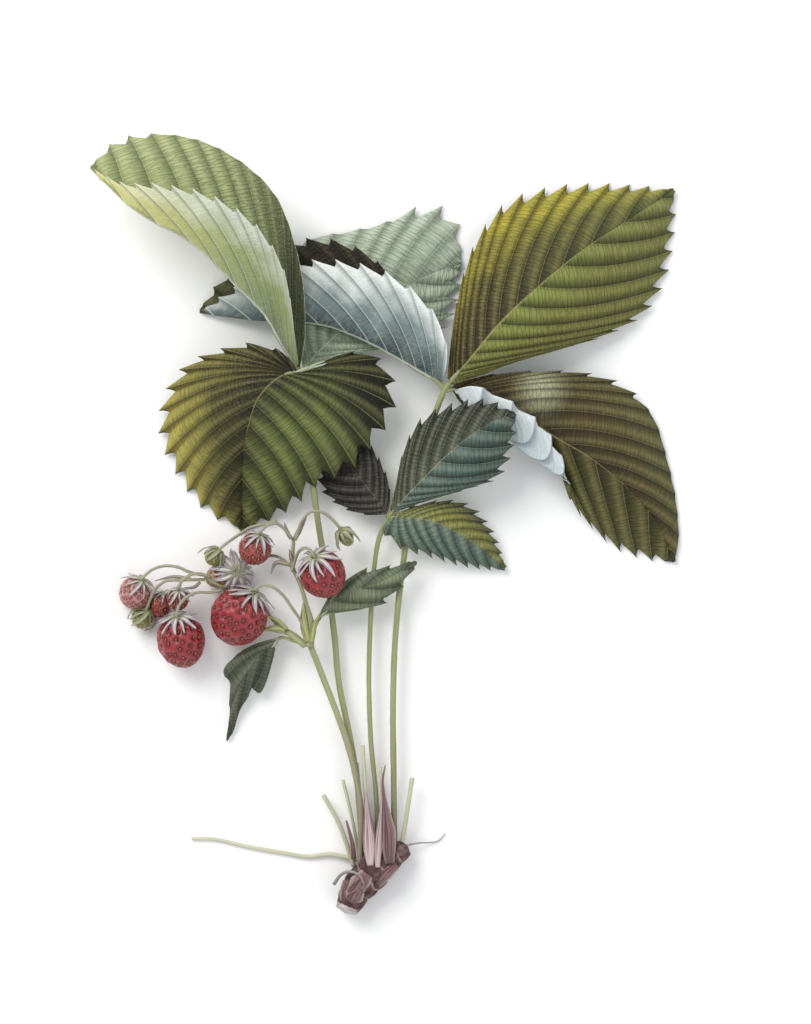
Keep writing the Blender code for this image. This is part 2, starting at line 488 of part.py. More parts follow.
# ---- sepal rings: berry they sit on, number of sepals, spread angle in degrees ----
CALYXES = {
    "calyx_1": ("berry_1", 9, 50),
    "calyx_2": ("berry_2", 9, 50),
    "calyx_3": ("berry_3", 9, 60),
    "calyx_4": ("berry_4", 8, 62),
    "calyx_5": ("berry_5", 8, 68),
    "calyx_6": ("berry_6", 7, 62),
}
SPREAD_CALYX = ((-42.6, -12.8, 3.9), (0.84, 0.46, 0.35), 4.6, 9, 52)

# ---- unripe heads closed in their own sepals: centre, axis, half length, half width ----
BUDS = {
    "bud_left": ((-63.9, -24.4, 3.1), (1.6, 1.8, 1.4), 2.6, 2.9),
    "bud_centre": ((-45.1, -8.4, 7.6), (1.6, 2.2, 0.6), 2.1, 2.2),
    "bud_right": ((-10.5, -3.3, 8.0), (-1.8, 2.6, 1.6), 2.4, 1.9),
}


def build():
    clear_scene()
    look = make_materials()
    for name, shape in LEAFLETS.items():
        leaflet(name, shape, look["leaf_upper_side"])
    for name, (points, radii, rings, sides) in STEMS.items():
        tube(name, points, radii, look["leaf_stalk"], rings, sides)
    tube("rhizome", *RHIZOME, look["rhizome_bark"], rings=12, sides=12)
    for name, (points, widths) in SHEATHS.items():
        pointed_blade(name, points, widths, look["dry_sheath"])
    for name, (centre, axis, half_length, half_width, taper, ripe) in BERRIES.items():
        skin = look["ripe_berry" if ripe else "green_berry"]
        spun(name, centre, axis, half_length, half_width, skin, taper=taper)
    for name, (berry, sepals, spread) in CALYXES.items():
        centre, axis, half_length, half_width = BERRIES[berry][:4]
        calyx(name, centre, axis, max(half_length, half_width), sepals, spread, look["sepal"])
    calyx("calyx_7", *SPREAD_CALYX, look["sepal"])
    for name, (centre, axis, half_length, half_width) in BUDS.items():
        spun(name, centre, axis, half_length, half_width, look["green_berry"], rings=6, sides=8)


build()
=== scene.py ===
import math

import bpy
import numpy as np
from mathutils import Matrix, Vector


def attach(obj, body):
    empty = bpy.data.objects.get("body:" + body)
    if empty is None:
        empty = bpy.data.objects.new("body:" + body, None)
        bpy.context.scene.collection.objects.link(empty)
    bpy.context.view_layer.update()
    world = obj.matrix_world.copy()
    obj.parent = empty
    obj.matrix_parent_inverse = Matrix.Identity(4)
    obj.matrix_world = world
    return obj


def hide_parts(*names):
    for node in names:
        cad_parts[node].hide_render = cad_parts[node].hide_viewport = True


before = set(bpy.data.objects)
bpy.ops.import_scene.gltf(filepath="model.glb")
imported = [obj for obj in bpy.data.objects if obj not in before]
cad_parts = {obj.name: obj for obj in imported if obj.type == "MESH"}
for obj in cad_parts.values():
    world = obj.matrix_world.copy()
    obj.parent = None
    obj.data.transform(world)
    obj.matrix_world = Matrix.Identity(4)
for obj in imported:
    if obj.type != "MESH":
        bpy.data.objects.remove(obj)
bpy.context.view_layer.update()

# Lengths are in millimetres; MM turns them into metres where a mesh is made.
MM = 0.001
UP = Vector((0, 0, 1))
BODY = "root"

# leaf blades
BLADE = 0.34            # thickness at the midrib
RIM_THINNING = 0.55     # share of the thickness lost at the rim
ROWS_PER_TOOTH = 20
COLUMNS = 36            # across half a blade, packed a little towards the midrib
ACROSS_HALF = np.linspace(0, 1, COLUMNS + 1) ** 1.15
TOOTH_DEPTH = 3.5
TOOTH_PEAK = 0.65       # where a tooth's tip stands in its own pitch
TOOTH_POINT = 0.38      # how pointed a tooth is, from a round scallop to a spike
TOOTH_FADE = 0.12       # share of the margin over which teeth come and go
TOOTH_ROOM = 0.45       # a tooth takes no more of the half blade's width than this
TIP_SHARE = 0.1         # the last teeth shrink over this share of the blade
VEIN_BOW = 0.07         # how much side veins bow towards the stalk
CURL_END, CURL_FADE = 0.6, 0.24   # where a curled margin lies flat again
WIDEST_STRIP = 6.0      # between two side veins, for the height of the pleats
PLEAT_HEIGHT = 0.19     # in strip widths
QUILT_HEIGHT = 0.035    # in strip widths
RIB_HEIGHT = 0.3
LARGE_PITCH, SMALL_PITCH = 4.4, 2.6   # between side veins, for the net between them

# stalks, strips and rootstock
STEM_SIDES = 14
STEM_STEP = 0.9         # length of one ring of a stem
STEM_LUMPS = 0.05       # unevenness as a share of the radius
JOIN = 0.7              # how far a stem runs into what it grows from
ROOT_JOIN = 3.6         # the same at the crown
CROWN_EDGE = -78        # stalks that start nearer the root end than this come from the crown
HAIR_LENGTH, HAIR_WIDTH = 0.9, 0.035
STRIP_ROWS = 26
SCAR_PITCH = 4.6        # between the leaf scars that ring the rhizome
SCAR_HEIGHT, KNOB_HEIGHT, GRAIN_HEIGHT = 0.5, 0.22, 0.09
RHIZOME_GAP = 0.15      # between the rhizome and what it lies on

# berries and their sepals
SEED_PITCH = 2.55       # between the seeds of a full-grown berry
SEED_RISE = 0.16        # how far a seed's middle stands above the floor of its pit
SEED_SHIFT = 0.16, 0.14  # random shift along and around the berry, in seed pitches
SEED_ROOM = 0.87        # area of a seed's own place on the skin, in squared seed pitches
PIT_WIDTH = 0.36        # in seed pitches
RIDGE_WIDTH = 0.28      # of the net of ridges between the pits, in seed pitches
RIDGE_HEIGHT = 0.1
SKIN_LUMPS = 0.14       # height of the swellings of a berry
BARE_CAP = 0.3          # angle round the stalk, in radians, that carries no seeds
GOLDEN_TURN = math.pi * (3 - math.sqrt(5))
SEPAL_START = 5         # angle from the stalk where sepals begin, in degrees
SEPAL_CHANGE = 0.12     # how much their reach differs from one to the next
SEPAL_THICKNESS = 0.16
SEPAL_LIFT = 0.35       # how high sepals lie above the berry's own shape
BRACTLETS = 0.62, 0.86  # width and reach of the narrow ones between, against a sepal's

FLOOR_GAP = 0.05        # lowest that anything comes to the surface it lies on


# ---------------------------------------------------------------- colour and nodes
def colour(code):
    """A hex sRGB colour as linear red, green, blue and alpha."""
    channels = [int(code[i:i + 2], 16) / 255 for i in (1, 3, 5)]
    return (*(c / 12.92 if c <= 0.04045 else ((c + 0.055) / 1.055) ** 2.4 for c in channels), 1)


class Value:
    """An output inside a node tree. Sums written with it become nodes in the same tree."""

    def __init__(self, tree, socket):
        self.tree, self.socket = tree, socket

    def calc(self, operation, *others):
        """One step of arithmetic that starts from this value."""
        return value(self.tree, 0, "ShaderNodeMath", dict(enumerate((self, *others))), operation=operation)

    def __add__(self, other):
        return self.calc("ADD", other)

    def __sub__(self, other):
        return self.calc("SUBTRACT", other)

    def __rsub__(self, other):
        return self.calc("MULTIPLY_ADD", -1.0, other)

    def __mul__(self, other):
        return self.calc("MULTIPLY", other)

    def __pow__(self, other):
        return self.calc("POWER", other)

    def __abs__(self):
        return self.calc("ABSOLUTE")


def add(tree, kind, inputs=None, stops=None, **settings):
    """Adds one node with its settings, its values or links, and its colour stops."""
    made = tree.nodes.new(kind)
    for key, setting in settings.items():
        setattr(made, key, setting)
    for key, given in (inputs or {}).items():
        given = getattr(given, "socket", given)
        if isinstance(given, bpy.types.NodeSocket):
            tree.links.new(given, made.inputs[key])
        else:
            is_colour = isinstance(given, str) and given.startswith("#")
            made.inputs[key].default_value = colour(given) if is_colour else given
    for i, (place, code) in enumerate(stops or ()):
        elements = made.color_ramp.elements
        stop = elements[i] if i < 2 else elements.new(place)
        stop.position = place
        stop.color = colour(code)
    return made


def value(tree, output, kind, inputs=None, **settings):
    """Adds one node and gives one of its outputs."""
    return Value(tree, add(tree, kind, inputs, **settings).outputs[output])


def ramp(start, low, high, at_low, at_high, interpolation="SMOOTHSTEP"):
    """Goes from at_low to at_high while its input goes from low to high."""
    ends = {"Value": start, 1: low, 2: high, 3: at_low, 4: at_high}
    return value(start.tree, 0, "ShaderNodeMapRange", ends, interpolation_type=interpolation)


def slope(start, low, high, at_low, at_high):
    """The same in a straight line."""
    return ramp(start, low, high, at_low, at_high, "LINEAR")


def blend(amount, first, second):
    """Colour that goes from the first to the second as the amount goes from 0 to 1."""
    return value(amount.tree, 2, "ShaderNodeMix", {0: amount, 6: first, 7: second}, data_type="RGBA")


def tones(start, *stops):
    """Colours at the given places along a value."""
    return value(start.tree, 0, "ShaderNodeValToRGB", {"Fac": start}, stops=stops)


def vector_calc(tree, operation, inputs, output=0):
    """One step of arithmetic with vectors."""
    return value(tree, output, "ShaderNodeVectorMath", inputs, operation=operation)


def join_axes(tree, **axes):
    """A vector made of the given X, Y and Z."""
    return value(tree, 0, "ShaderNodeCombineXYZ", axes)


def own_place(tree):
    """Place on the piece in millimetres."""
    metres = value(tree, "Object", "ShaderNodeTexCoord")
    return vector_calc(tree, "SCALE", {0: metres, "Scale": 1 / MM})


def noise(tree, size, detail, at=None):
    """Cloudy pattern whose patches are about the given size in millimetres."""
    return value(tree, "Fac", "ShaderNodeTexNoise",
                 {"Vector": at or own_place(tree), "Scale": 1 / size, "Detail": detail})


def attribute(tree, name):
    """The value of a named attribute inside a material."""
    return value(tree, "Fac", "ShaderNodeAttribute", attribute_name=name)


def new_material(name):
    """A new material and its node tree."""
    made = bpy.data.materials.new(name)
    made.use_nodes = True
    return made, made.node_tree


def finish(made, base, roughness, height, distance, **fixed):
    """Links colour, roughness and bump to a material's shader and sets the rest on its sockets."""
    tree = made.node_tree
    shader = tree.nodes["Principled BSDF"]
    bump = {"Height": height, "Distance": distance * MM, "Strength": 1.0}
    normal = value(tree, "Normal", "ShaderNodeBump", bump)
    for key, source in (("Base Color", base), ("Roughness", roughness), ("Normal", normal)):
        tree.links.new(source.socket, shader.inputs[key])
    for key, setting in fixed.items():
        shader.inputs[key.replace("_", " ")].default_value = setting
    return made


# ---------------------------------------------------------------- curves
def smooth_path(points, count):
    """Points spaced evenly along a smooth curve through the given points."""
    pts = np.array(points, float)
    span = np.maximum(np.linalg.norm(np.diff(pts, axis=0), axis=1), 1e-6)[:, None]
    rise = np.diff(pts, axis=0) / span
    inner = (rise[:-1] * span[1:] + rise[1:] * span[:-1]) / (span[1:] + span[:-1])
    tangent = np.vstack([rise[:1], inner, rise[-1:]])
    t = np.linspace(0, 1, 24, endpoint=False)[:, None]
    dense = np.vstack([
        (2 * t**3 - 3 * t**2 + 1) * pts[i] + (t**3 - 2 * t**2 + t) * span[i] * tangent[i]
        + (3 * t**2 - 2 * t**3) * pts[i + 1] + (t**3 - t**2) * span[i] * tangent[i + 1]
        for i in range(len(pts) - 1)
    ] + [pts[-1:]])
    along = np.concatenate([[0], np.cumsum(np.linalg.norm(np.diff(dense, axis=0), axis=1))])
    at = np.linspace(0, along[-1], count)
    return np.stack([np.interp(at, along, dense[:, axis]) for axis in range(3)], axis=1)


def at_fraction(path, fractions):
    """Points of an evenly spaced path at the given fractions of its length."""
    steps = np.linspace(0, 1, len(path))
    return np.stack([np.interp(fractions, steps, path[:, axis]) for axis in range(3)], axis=1)


def spread_along(values, count):
    """The given values, spaced evenly along a path, at each of its count points."""
    return np.interp(np.linspace(0, 1, count), np.linspace(0, 1, len(values)), values)


def unit(vectors):
    """The same directions with length one."""
    return vectors / np.maximum(np.linalg.norm(vectors, axis=-1, keepdims=True), 1e-9)


def wander(points, size, seed):
    """Smooth pseudo-random numbers in -1..1 that vary over about the given size."""
    draw = np.random.default_rng(seed)
    total = np.zeros(len(points))
    for octave in range(4):
        for _ in range(3):
            wave = draw.normal(size=3) * 2 ** octave / size
            total += np.sin(points @ wave + draw.uniform(0, 6.28)) / (3 * 1.6 ** octave)
    return total


# ---------------------------------------------------------------- making pieces
def make_piece(name, vertices, faces, materials, attributes=None, slot=None, nodes=()):
    """A smooth mesh piece with its point attributes, riding on the body, standing for CAD nodes."""
    mesh = bpy.data.meshes.new(name)
    mesh.from_pydata(np.maximum(vertices, (-np.inf, -np.inf, FLOOR_GAP)) * MM, [], faces)
    for key, values in (attributes or {}).items():
        values = np.asarray(values, np.float32)
        kind, part = ("FLOAT_VECTOR", "vector") if values.ndim == 2 else ("FLOAT", "value")
        mesh.attributes.new(key, kind, "POINT").data.foreach_set(part, values.ravel())
    for material in materials:
        mesh.materials.append(material)
    mesh.shade_smooth()
    piece = bpy.data.objects.new(name, mesh)
    bpy.context.scene.collection.objects.link(piece)
    if slot:
        settle(piece, nodes)
    return piece


def settle(piece, nodes=()):
    """Sets the piece to ride on the body and hides the CAD nodes it stands for."""
    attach(piece, BODY)
    if nodes:
        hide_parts(*nodes)


def grow(piece, tree, sizes):
    """Runs a geometry tree on a piece with the named sizes and keeps the result as plain mesh."""
    modifier = piece.modifiers.new("grow", "NODES")
    modifier.node_group = tree
    for item in tree.interface.items_tree:
        if item.in_out == "INPUT" and item.name in sizes:
            modifier[item.identifier] = sizes[item.name]
    graph = bpy.context.evaluated_depsgraph_get()
    mesh = bpy.data.meshes.new_from_object(
        piece.evaluated_get(graph), preserve_all_data_layers=True, depsgraph=graph)
    piece.modifiers.clear()
    piece.data = mesh
    mesh.shade_smooth()
    spots = np.empty(len(mesh.vertices) * 3, np.float32)
    mesh.vertices.foreach_get("co", spots)
    spots[2::3] = np.maximum(spots[2::3], FLOOR_GAP * MM)
    mesh.vertices.foreach_set("co", spots)


def sheet(grid, thickness):
    """Vertices and faces of a thin solid around a grid of points, upper side first."""
    rows, columns = grid.shape[:2]
    out = unit(np.cross(np.gradient(grid, axis=1), np.gradient(grid, axis=0)))
    half = np.asarray(thickness) / 2
    half = half[..., None] if half.ndim else half
    vertices = np.vstack([(grid + out * half).reshape(-1, 3), (grid - out * half).reshape(-1, 3)])
    i, j = np.meshgrid(np.arange(rows - 1), np.arange(columns - 1), indexing="ij")
    a = (i * columns + j).ravel()
    upper = np.stack([a, a + 1, a + columns + 1, a + columns], axis=1)
    under = rows * columns
    lower = upper[:, ::-1] + under
    rim = list(range(columns)) + [i * columns + columns - 1 for i in range(1, rows)]
    rim += [(rows - 1) * columns + j for j in range(columns - 2, -1, -1)]
    rim += [i * columns for i in range(rows - 2, 0, -1)]
    rim = np.array(rim)
    ahead = np.roll(rim, -1)
    wall = np.stack([rim, rim + under, ahead + under, ahead], axis=1)
    is_under = np.concatenate([np.zeros(len(upper)), np.ones(len(lower) + len(wall))])
    return vertices, np.vstack([upper, lower, wall]), is_under, out


def sweep_rings(path, radii, sides):
    """Vertices and faces of a round stem along a path, with domed ends."""
    along = unit(np.gradient(path, axis=0))
    side = np.array(Vector(along[0]).orthogonal().normalized())
    turn = 2 * np.pi * np.arange(sides) / sides
    rings, outs = [], []
    for centre, ahead, radius in zip(path, along, radii):
        side = side - ahead * (side @ ahead)
        side /= np.linalg.norm(side)
        other = np.cross(ahead, side)
        out = np.cos(turn)[:, None] * side + np.sin(turn)[:, None] * other
        rings.append(centre + out * radius)
        outs.append(out)
    count = len(path)
    first, last = path[0] - along[0] * radii[0] * 0.25, path[-1] + along[-1] * radii[-1] * 0.25
    vertices = np.vstack(rings + [first[None], last[None]])
    out = np.vstack(outs + [-along[:1], along[-1:]])
    foot, top, end = count * sides, count * sides + 1, (count - 1) * sides
    ring = [(k, (k + 1) % sides) for k in range(sides)]
    faces = [(a + k, a + n, a + n + sides, a + k + sides) for a in range(0, end, sides) for k, n in ring]
    for k, n in ring:
        faces += [(foot, n, k), (top, end + k, end + n)]
    share = np.concatenate([np.repeat(np.linspace(0, 1, count), sides), [0, 1]])
    return vertices, faces, share, out


# ---------------------------------------------------------------- materials
def leaf_pattern(tree, pitch, grain):
    """What both sides of a leaf share: place on the blade, side veins and the net between them."""
    across, along, strip, reach = (attribute(tree, key) for key in ("across", "along", "strip", "reach"))
    mottle = noise(tree, 7.1, 5.0)
    place = abs(across) + (mottle * 0.7 - 0.35)
    phase = strip + (1 - TOOTH_PEAK)
    cells_at = join_axes(tree, X=phase * (pitch * 0.2), Y=reach)
    cells = value(tree, "Distance", "ShaderNodeTexVoronoi",
                  {"Vector": cells_at, "Scale": 1.0, "Randomness": 0.8}, feature="DISTANCE_TO_EDGE")
    net = ramp(cells, 0.0, 0.11, 1.0, 0.0)
    return across, along, mottle, noise(tree, grain, 3.0), place, phase, phase.calc("PINGPONG", 0.5), net


def leaf_upper(name, left, right, base, tip, pitch, vein, painted_shade, painted_light_patch=None):
    """Upper side of a strawberry leaf: waxy cuticle over tissue swollen between sunk veins.
    The eye gets strips with painted shade towards each vein, a painted highlight on each crest,
    thin pale veins and a satin gloss. left and right hold midrib, middle and rim; base and tip hold a colour,
    its strength and for the base from where to where it fades; the patch of painted light holds x, y, radius,
    colour and strength."""
    made, tree = new_material(name)
    across, along, mottle, fine, place, phase, wave, net = leaf_pattern(tree, pitch, 1.1)
    halves = [tones(place, (0.0, half[0]), (0.5, half[1]), (1.0, half[2])) for half in (left, right)]
    skin = blend(ramp(across, -0.02, 0.02, 0.0, 1.0), *halves)
    wash, strength, *fade = base
    skin = blend(slope(along, *(fade or (0.05, 0.55)), strength, 0.0), skin, wash)
    skin = blend(slope(along, 0.5, 1.0, 0.0, tip[1]), skin, tip[0])
    # a round patch of painted light: a painted highlight where its colour is pale, painted shade where it is
    # dark
    if painted_light_patch:
        x, y, radius, tint, strength = painted_light_patch
        level = vector_calc(tree, "MULTIPLY", {0: own_place(tree), 1: (1, 1, 0)})
        away = vector_calc(tree, "DISTANCE", {0: level, 1: (x, y, 0)}, "Value")
        skin = blend(ramp(away, 0.0, radius, strength, 0.0), skin, tint)
    # painted shade in the hollow beside each vein, deepest just past the vein
    share = phase.calc("FRACT")
    painted_hollow_shade = ramp(share, 0.03, 0.62, 0.68, 0.0).calc("MAXIMUM", ramp(share, 0.86, 1.0, 0.0, 0.34))
    skin = blend(painted_hollow_shade, skin, painted_shade)
    # painted highlight along the crest of each strip, in the pale vein colour
    skin = blend(ramp(abs(share - 0.68), 0.0, 0.25, 0.2, 0.0), skin, vein)
    # the fine sunk net darkened a little with the same painted shade
    skin = blend(net * 0.13, skin, painted_shade)
    skin = blend(ramp(wave, 0.008, 0.028, 0.38, 0.0), skin, vein)
    skin = blend(slope(abs(across), 0.004, 0.016, 0.6, 0.0), skin, vein)
    return finish(made, skin, ramp(mottle, 0.3, 0.7, 0.45, 0.65), net * -0.8 + fine, 0.2,
                  IOR=1.42, Specular_IOR_Level=0.28)


def leaf_under(name, midrib, middle, rim, tip, shadow, rib, pitch):
    """Underside of a strawberry leaf: pale felt of silky hairs between raised ribs.
    The eye gets a greyed, almost matt skin with lighter ribs, a painted highlight along the rim and painted
    shade towards the midrib."""
    made, tree = new_material(name)
    across, along, _, felt, place, phase, wave, net = leaf_pattern(tree, pitch, 0.38)
    # from midrib to rim: painted shade towards the midrib, where a folded half creases, and a painted
    # highlight at the rim
    skin = tones(place, (0.0, midrib), (0.5, middle), (1.0, rim))
    skin = blend(slope(along, 0.5, 1.0, 0.0, tip[1]), skin, tip[0])
    skin = blend(ramp(phase.calc("FRACT"), 0.05, 0.45, 0.5, 0.0), skin, shadow)
    skin = blend(net * 0.1, skin, rib)
    skin = blend(ramp(wave, 0.01, 0.05, 0.6, 0.0), skin, rib)
    skin = blend(slope(abs(across), 0.01, 0.035, 0.8, 0.0), skin, rib)
    return finish(made, skin, ramp(felt, 0.3, 0.7, 0.65, 0.85), net * 0.5 + felt, 0.14,
                  IOR=1.42, Specular_IOR_Level=0.3, Sheen_Weight=0.2, Sheen_Roughness=0.4)


def stem_skin(name, green, flush, dark, flush_from, flush_to):
    """Skin of a leaf or flower stalk: fine lengthwise ridges under a thin cuticle.
    The eye gets pale yellow-green with darker streaks, reddening towards the crown."""
    made, tree = new_material(name)
    height = value(tree, "Y", "ShaderNodeSeparateXYZ", {0: own_place(tree)})
    skin = value(tree, "Vector", "ShaderNodeAttribute", attribute_name="skin")
    stretched = vector_calc(tree, "MULTIPLY", {0: skin, 1: (1.9, 1.9, 0.09)})
    streak, grain = noise(tree, 1.0, 5.0, stretched), noise(tree, 1.1, 3.0)
    base = blend(slope(height, flush_from, flush_to, 0.75, 0.0), green, flush)
    base = blend(slope(streak, 0.45, 0.7, 0.0, 0.65), base, dark)
    return finish(made, base, ramp(grain, 0.3, 0.7, 0.45, 0.62), streak + grain, 0.08, IOR=1.42)


def berry_skin(name, ridge_highlight_and_mottle, flesh, pit, pale_end):
    """Skin of a strawberry: thin, taut and waxy over juicy flesh, sunk around each seed.
    The eye gets a painted highlight on the ridges between the pits, painted shade in each pit and a wet
    highlight."""
    made, tree = new_material(name)
    grain = noise(tree, 0.45, 3.0)
    base = blend(slope(noise(tree, 3.8, 4.0), 0.35, 0.7, 0.0, 0.5), flesh, ridge_highlight_and_mottle)
    base = blend(slope(attribute(tree, "along"), 0.0, 0.4, pale_end[1], 0.0), base, pale_end[0])
    # painted highlight on the ridges between the pits
    base = blend(attribute(tree, "net") * 0.65, base, ridge_highlight_and_mottle)
    # painted shade in each pit
    base = blend(attribute(tree, "pit"), base, pit)
    return finish(made, base, ramp(grain, 0.3, 0.7, 0.3, 0.45), grain, 0.05,
                  IOR=1.4, Specular_IOR_Level=0.5, Coat_Weight=0.25, Coat_Roughness=0.2)


def seed_coat(name, pale, dark):
    """Coat of a strawberry seed: dry, hard and polished. The eye gets tan mottled with brown."""
    made, tree = new_material(name)
    grain = noise(tree, 0.67, 3.0)
    base = tones(grain, (0.35, dark), (0.62, pale))
    return finish(made, base, ramp(grain, 0.3, 0.7, 0.3, 0.5), grain, 0.05, IOR=1.5)


def papery(name, body, vein, foot, streaks, rim=None):
    """Sepals, bracts and sheaths: thin dry tissue with parallel veins and downy edges.
    The eye gets pale, almost matt strips, streaked lengthwise, edged and tinted at the foot."""
    made, tree = new_material(name)
    across, along = attribute(tree, "across"), attribute(tree, "along")
    at = join_axes(tree, X=across * streaks, Y=along * 1.2)
    lines, down = noise(tree, 1.0, 3.0, at), noise(tree, 0.42, 2.0)
    base = blend(slope(lines, 0.45, 0.6, 0.0, 0.85), body, vein)
    base = blend(slope(abs(across), 0.55, 1.0, 0.0, 0.85), base, rim or body)
    base = blend(slope(along, 0.0, 0.45, foot[1], 0.0), base, foot[0])
    return finish(made, base, ramp(down, 0.3, 0.7, 0.6, 0.8), lines, 0.08,
                  IOR=1.4, Sheen_Weight=0.2, Sheen_Roughness=0.5)


def bark(name, body, dark, pale):
    """Bark of a rhizome: dead cork with old leaf scales.
    The eye gets a dull purple-brown that is cracked, grained and worn pale on the ridges."""
    made, tree = new_material(name)
    blotch, grain = noise(tree, 2.4, 6.0), noise(tree, 0.53, 5.0)
    base = blend(attribute(tree, "wear"), tones(blotch, (0.38, dark), (0.62, body)), pale)
    return finish(made, base, ramp(grain, 0.3, 0.7, 0.7, 0.95), blotch + grain, 0.25, IOR=1.45)


# ---------------------------------------------------------------- geometry trees
FLOAT, WHOLE, MATERIAL = "NodeSocketFloat", "NodeSocketInt", "NodeSocketMaterial"


def new_tree(name, sizes):
    """A geometry tree with a mesh input and named sizes; returns the tree and what it is given."""
    tree = bpy.data.node_groups.new(name, "GeometryNodeTree")
    tree.interface.new_socket("Geometry", in_out="INPUT", socket_type="NodeSocketGeometry")
    for key, kind in sizes.items():
        tree.interface.new_socket(key, in_out="INPUT", socket_type=kind)
    tree.interface.new_socket("Geometry", in_out="OUTPUT", socket_type="NodeSocketGeometry")
    entry = tree.nodes.new("NodeGroupInput")
    return tree, {key: Value(tree, entry.outputs[key]) for key in ("Geometry", *sizes)}


def end_tree(tree, geometry, *coats):
    """Makes the geometry real, sets each material on what it is for, and hands it out."""
    geometry = value(tree, 0, "GeometryNodeRealizeInstances", {"Geometry": geometry})
    for coat in coats:
        geometry = value(tree, 0, "GeometryNodeSetMaterial", {"Geometry": geometry, **coat})
    add(tree, "NodeGroupOutput", {"Geometry": geometry})
    return tree


def read(tree, name, kind="FLOAT"):
    """The value of a named attribute inside a geometry tree."""
    return value(tree, 0, "GeometryNodeInputNamedAttribute", {"Name": name}, data_type=kind)


def pleat_tree():
    """Leaf relief: tissue swells between the side veins, which sink above and stand out below."""
    tree, given = new_tree("leaf relief", {"Pleat height": FLOAT, "Rib height": FLOAT, "Quilt height": FLOAT,
                                           "Upper": MATERIAL, "Under": MATERIAL})
    distance, pitch = abs(read(tree, "across")), read(tree, "pitch")
    phase = read(tree, "strip") + (1 - TOOTH_PEAK)
    swell = abs((phase * math.pi).calc("SINE")) ** 0.62
    body = swell * (1.0 - distance ** 7.0) * (distance ** 0.6 * 0.8 + 0.2)
    # cross ridges between two side veins, shifted from one strip to the next
    waver = value(tree, 0, "ShaderNodeTexNoise", {"Scale": 1 / (3.8 * MM), "Detail": 2.0})
    cross = (waver * 9.0 + (read(tree, "reach") * 3.3 + phase.calc("FLOOR") * 1.9)).calc("SINE")
    swollen = body * given["Pleat height"] * pitch + cross * body * pitch * given["Quilt height"]
    # ribs below: narrow ridges on the side veins and a stout midrib
    near_vein = 1.0 - (phase.calc("PINGPONG", 0.5) * 11.0).calc("MINIMUM", 1.0)
    near_midrib = 1.0 - (distance * 24.0).calc("MINIMUM", 1.0)
    stout = 1.4 - read(tree, "along")
    rib = (near_vein * (1.0 - distance * 0.7)).calc("MAXIMUM", near_midrib * stout)
    lift = swollen - rib * given["Rib height"] * read(tree, "below")
    offset = vector_calc(tree, "SCALE", {0: read(tree, "out", "FLOAT_VECTOR"), "Scale": lift})
    moved = value(tree, 0, "GeometryNodeSetPosition", {"Geometry": given["Geometry"], "Offset": offset})
    is_under = value(tree, 0, "FunctionNodeCompare", {"A": read(tree, "under_face"), "B": 0.5},
                     data_type="FLOAT", operation="GREATER_THAN")
    coats = {"Material": given["Upper"]}, {"Selection": is_under, "Material": given["Under"]}
    return end_tree(tree, moved, *coats)


def seed_tree():
    """Seeds on a berry: one flattened drop at each point, lying flat and pointing to the tip."""
    tree, given = new_tree("berry seeds", {"Length": FLOAT, "Width": FLOAT, "Depth": FLOAT, "Coat": MATERIAL})
    ball = value(tree, "Mesh", "GeometryNodeMeshUVSphere", {"Segments": 8, "Rings": 6, "Radius": 0.5})
    split = add(tree, "ShaderNodeSeparateXYZ", {0: value(tree, 0, "GeometryNodeInputPosition")})
    x, y, z = (Value(tree, split.outputs[axis]) for axis in "XYZ")
    slim = join_axes(tree, X=x, Y=y * (x * -0.7 + 0.85), Z=z)
    drop = value(tree, 0, "GeometryNodeSetPosition", {"Geometry": ball, "Position": slim})
    size = join_axes(tree, X=given["Length"], Y=given["Width"], Z=given["Depth"])
    shaped = value(tree, 0, "GeometryNodeTransform", {"Geometry": drop, "Scale": size})
    out, towards = (read(tree, name, "FLOAT_VECTOR") for name in ("out", "towards"))
    up = value(tree, 0, "FunctionNodeAlignRotationToVector", {"Vector": out}, axis="Z")
    turned = value(tree, 0, "FunctionNodeAlignRotationToVector", {"Rotation": up, "Vector": towards},
                   axis="X", pivot_axis="Z")
    placed = value(tree, 0, "GeometryNodeInstanceOnPoints",
                   {"Points": given["Geometry"], "Instance": shaped, "Rotation": turned})
    return end_tree(tree, placed, {"Material": given["Coat"]})


def hair_tree():
    """Down on a stalk: short three-sided hairs scattered over it, leaning outwards."""
    tree, given = new_tree("stalk down", {"Density": FLOAT, "Length": FLOAT, "Width": FLOAT, "Lean": FLOAT,
                                          "Seed": WHOLE, "Fibre": MATERIAL})
    spread = add(tree, "GeometryNodeDistributePointsOnFaces",
                 {"Mesh": given["Geometry"], "Density": given["Density"], "Seed": given["Seed"]})
    cone = value(tree, "Mesh", "GeometryNodeMeshCone",
                 {"Vertices": 3, "Radius Top": 0.0, "Radius Bottom": given["Width"],
                  "Depth": given["Length"]})
    tilt = value(tree, 1, "FunctionNodeRandomValue", {"Max": given["Lean"], "Seed": given["Seed"]},
                 data_type="FLOAT")
    spin = value(tree, 1, "FunctionNodeRandomValue", {"Max": 6.28}, data_type="FLOAT")
    lean = value(tree, 0, "FunctionNodeEulerToRotation", {"Euler": join_axes(tree, X=tilt, Z=spin)})
    turned = value(tree, 0, "FunctionNodeRotateRotation",
                   {"Rotation": spread.outputs["Rotation"], "Rotate By": lean}, rotation_space="LOCAL")
    placed = value(tree, 0, "GeometryNodeInstanceOnPoints",
                   {"Points": spread.outputs["Points"], "Instance": cone, "Rotation": turned})
    return end_tree(tree, placed, {"Material": given["Fibre"]})


PLEATS, SEEDS, DOWN = pleat_tree(), seed_tree(), hair_tree()


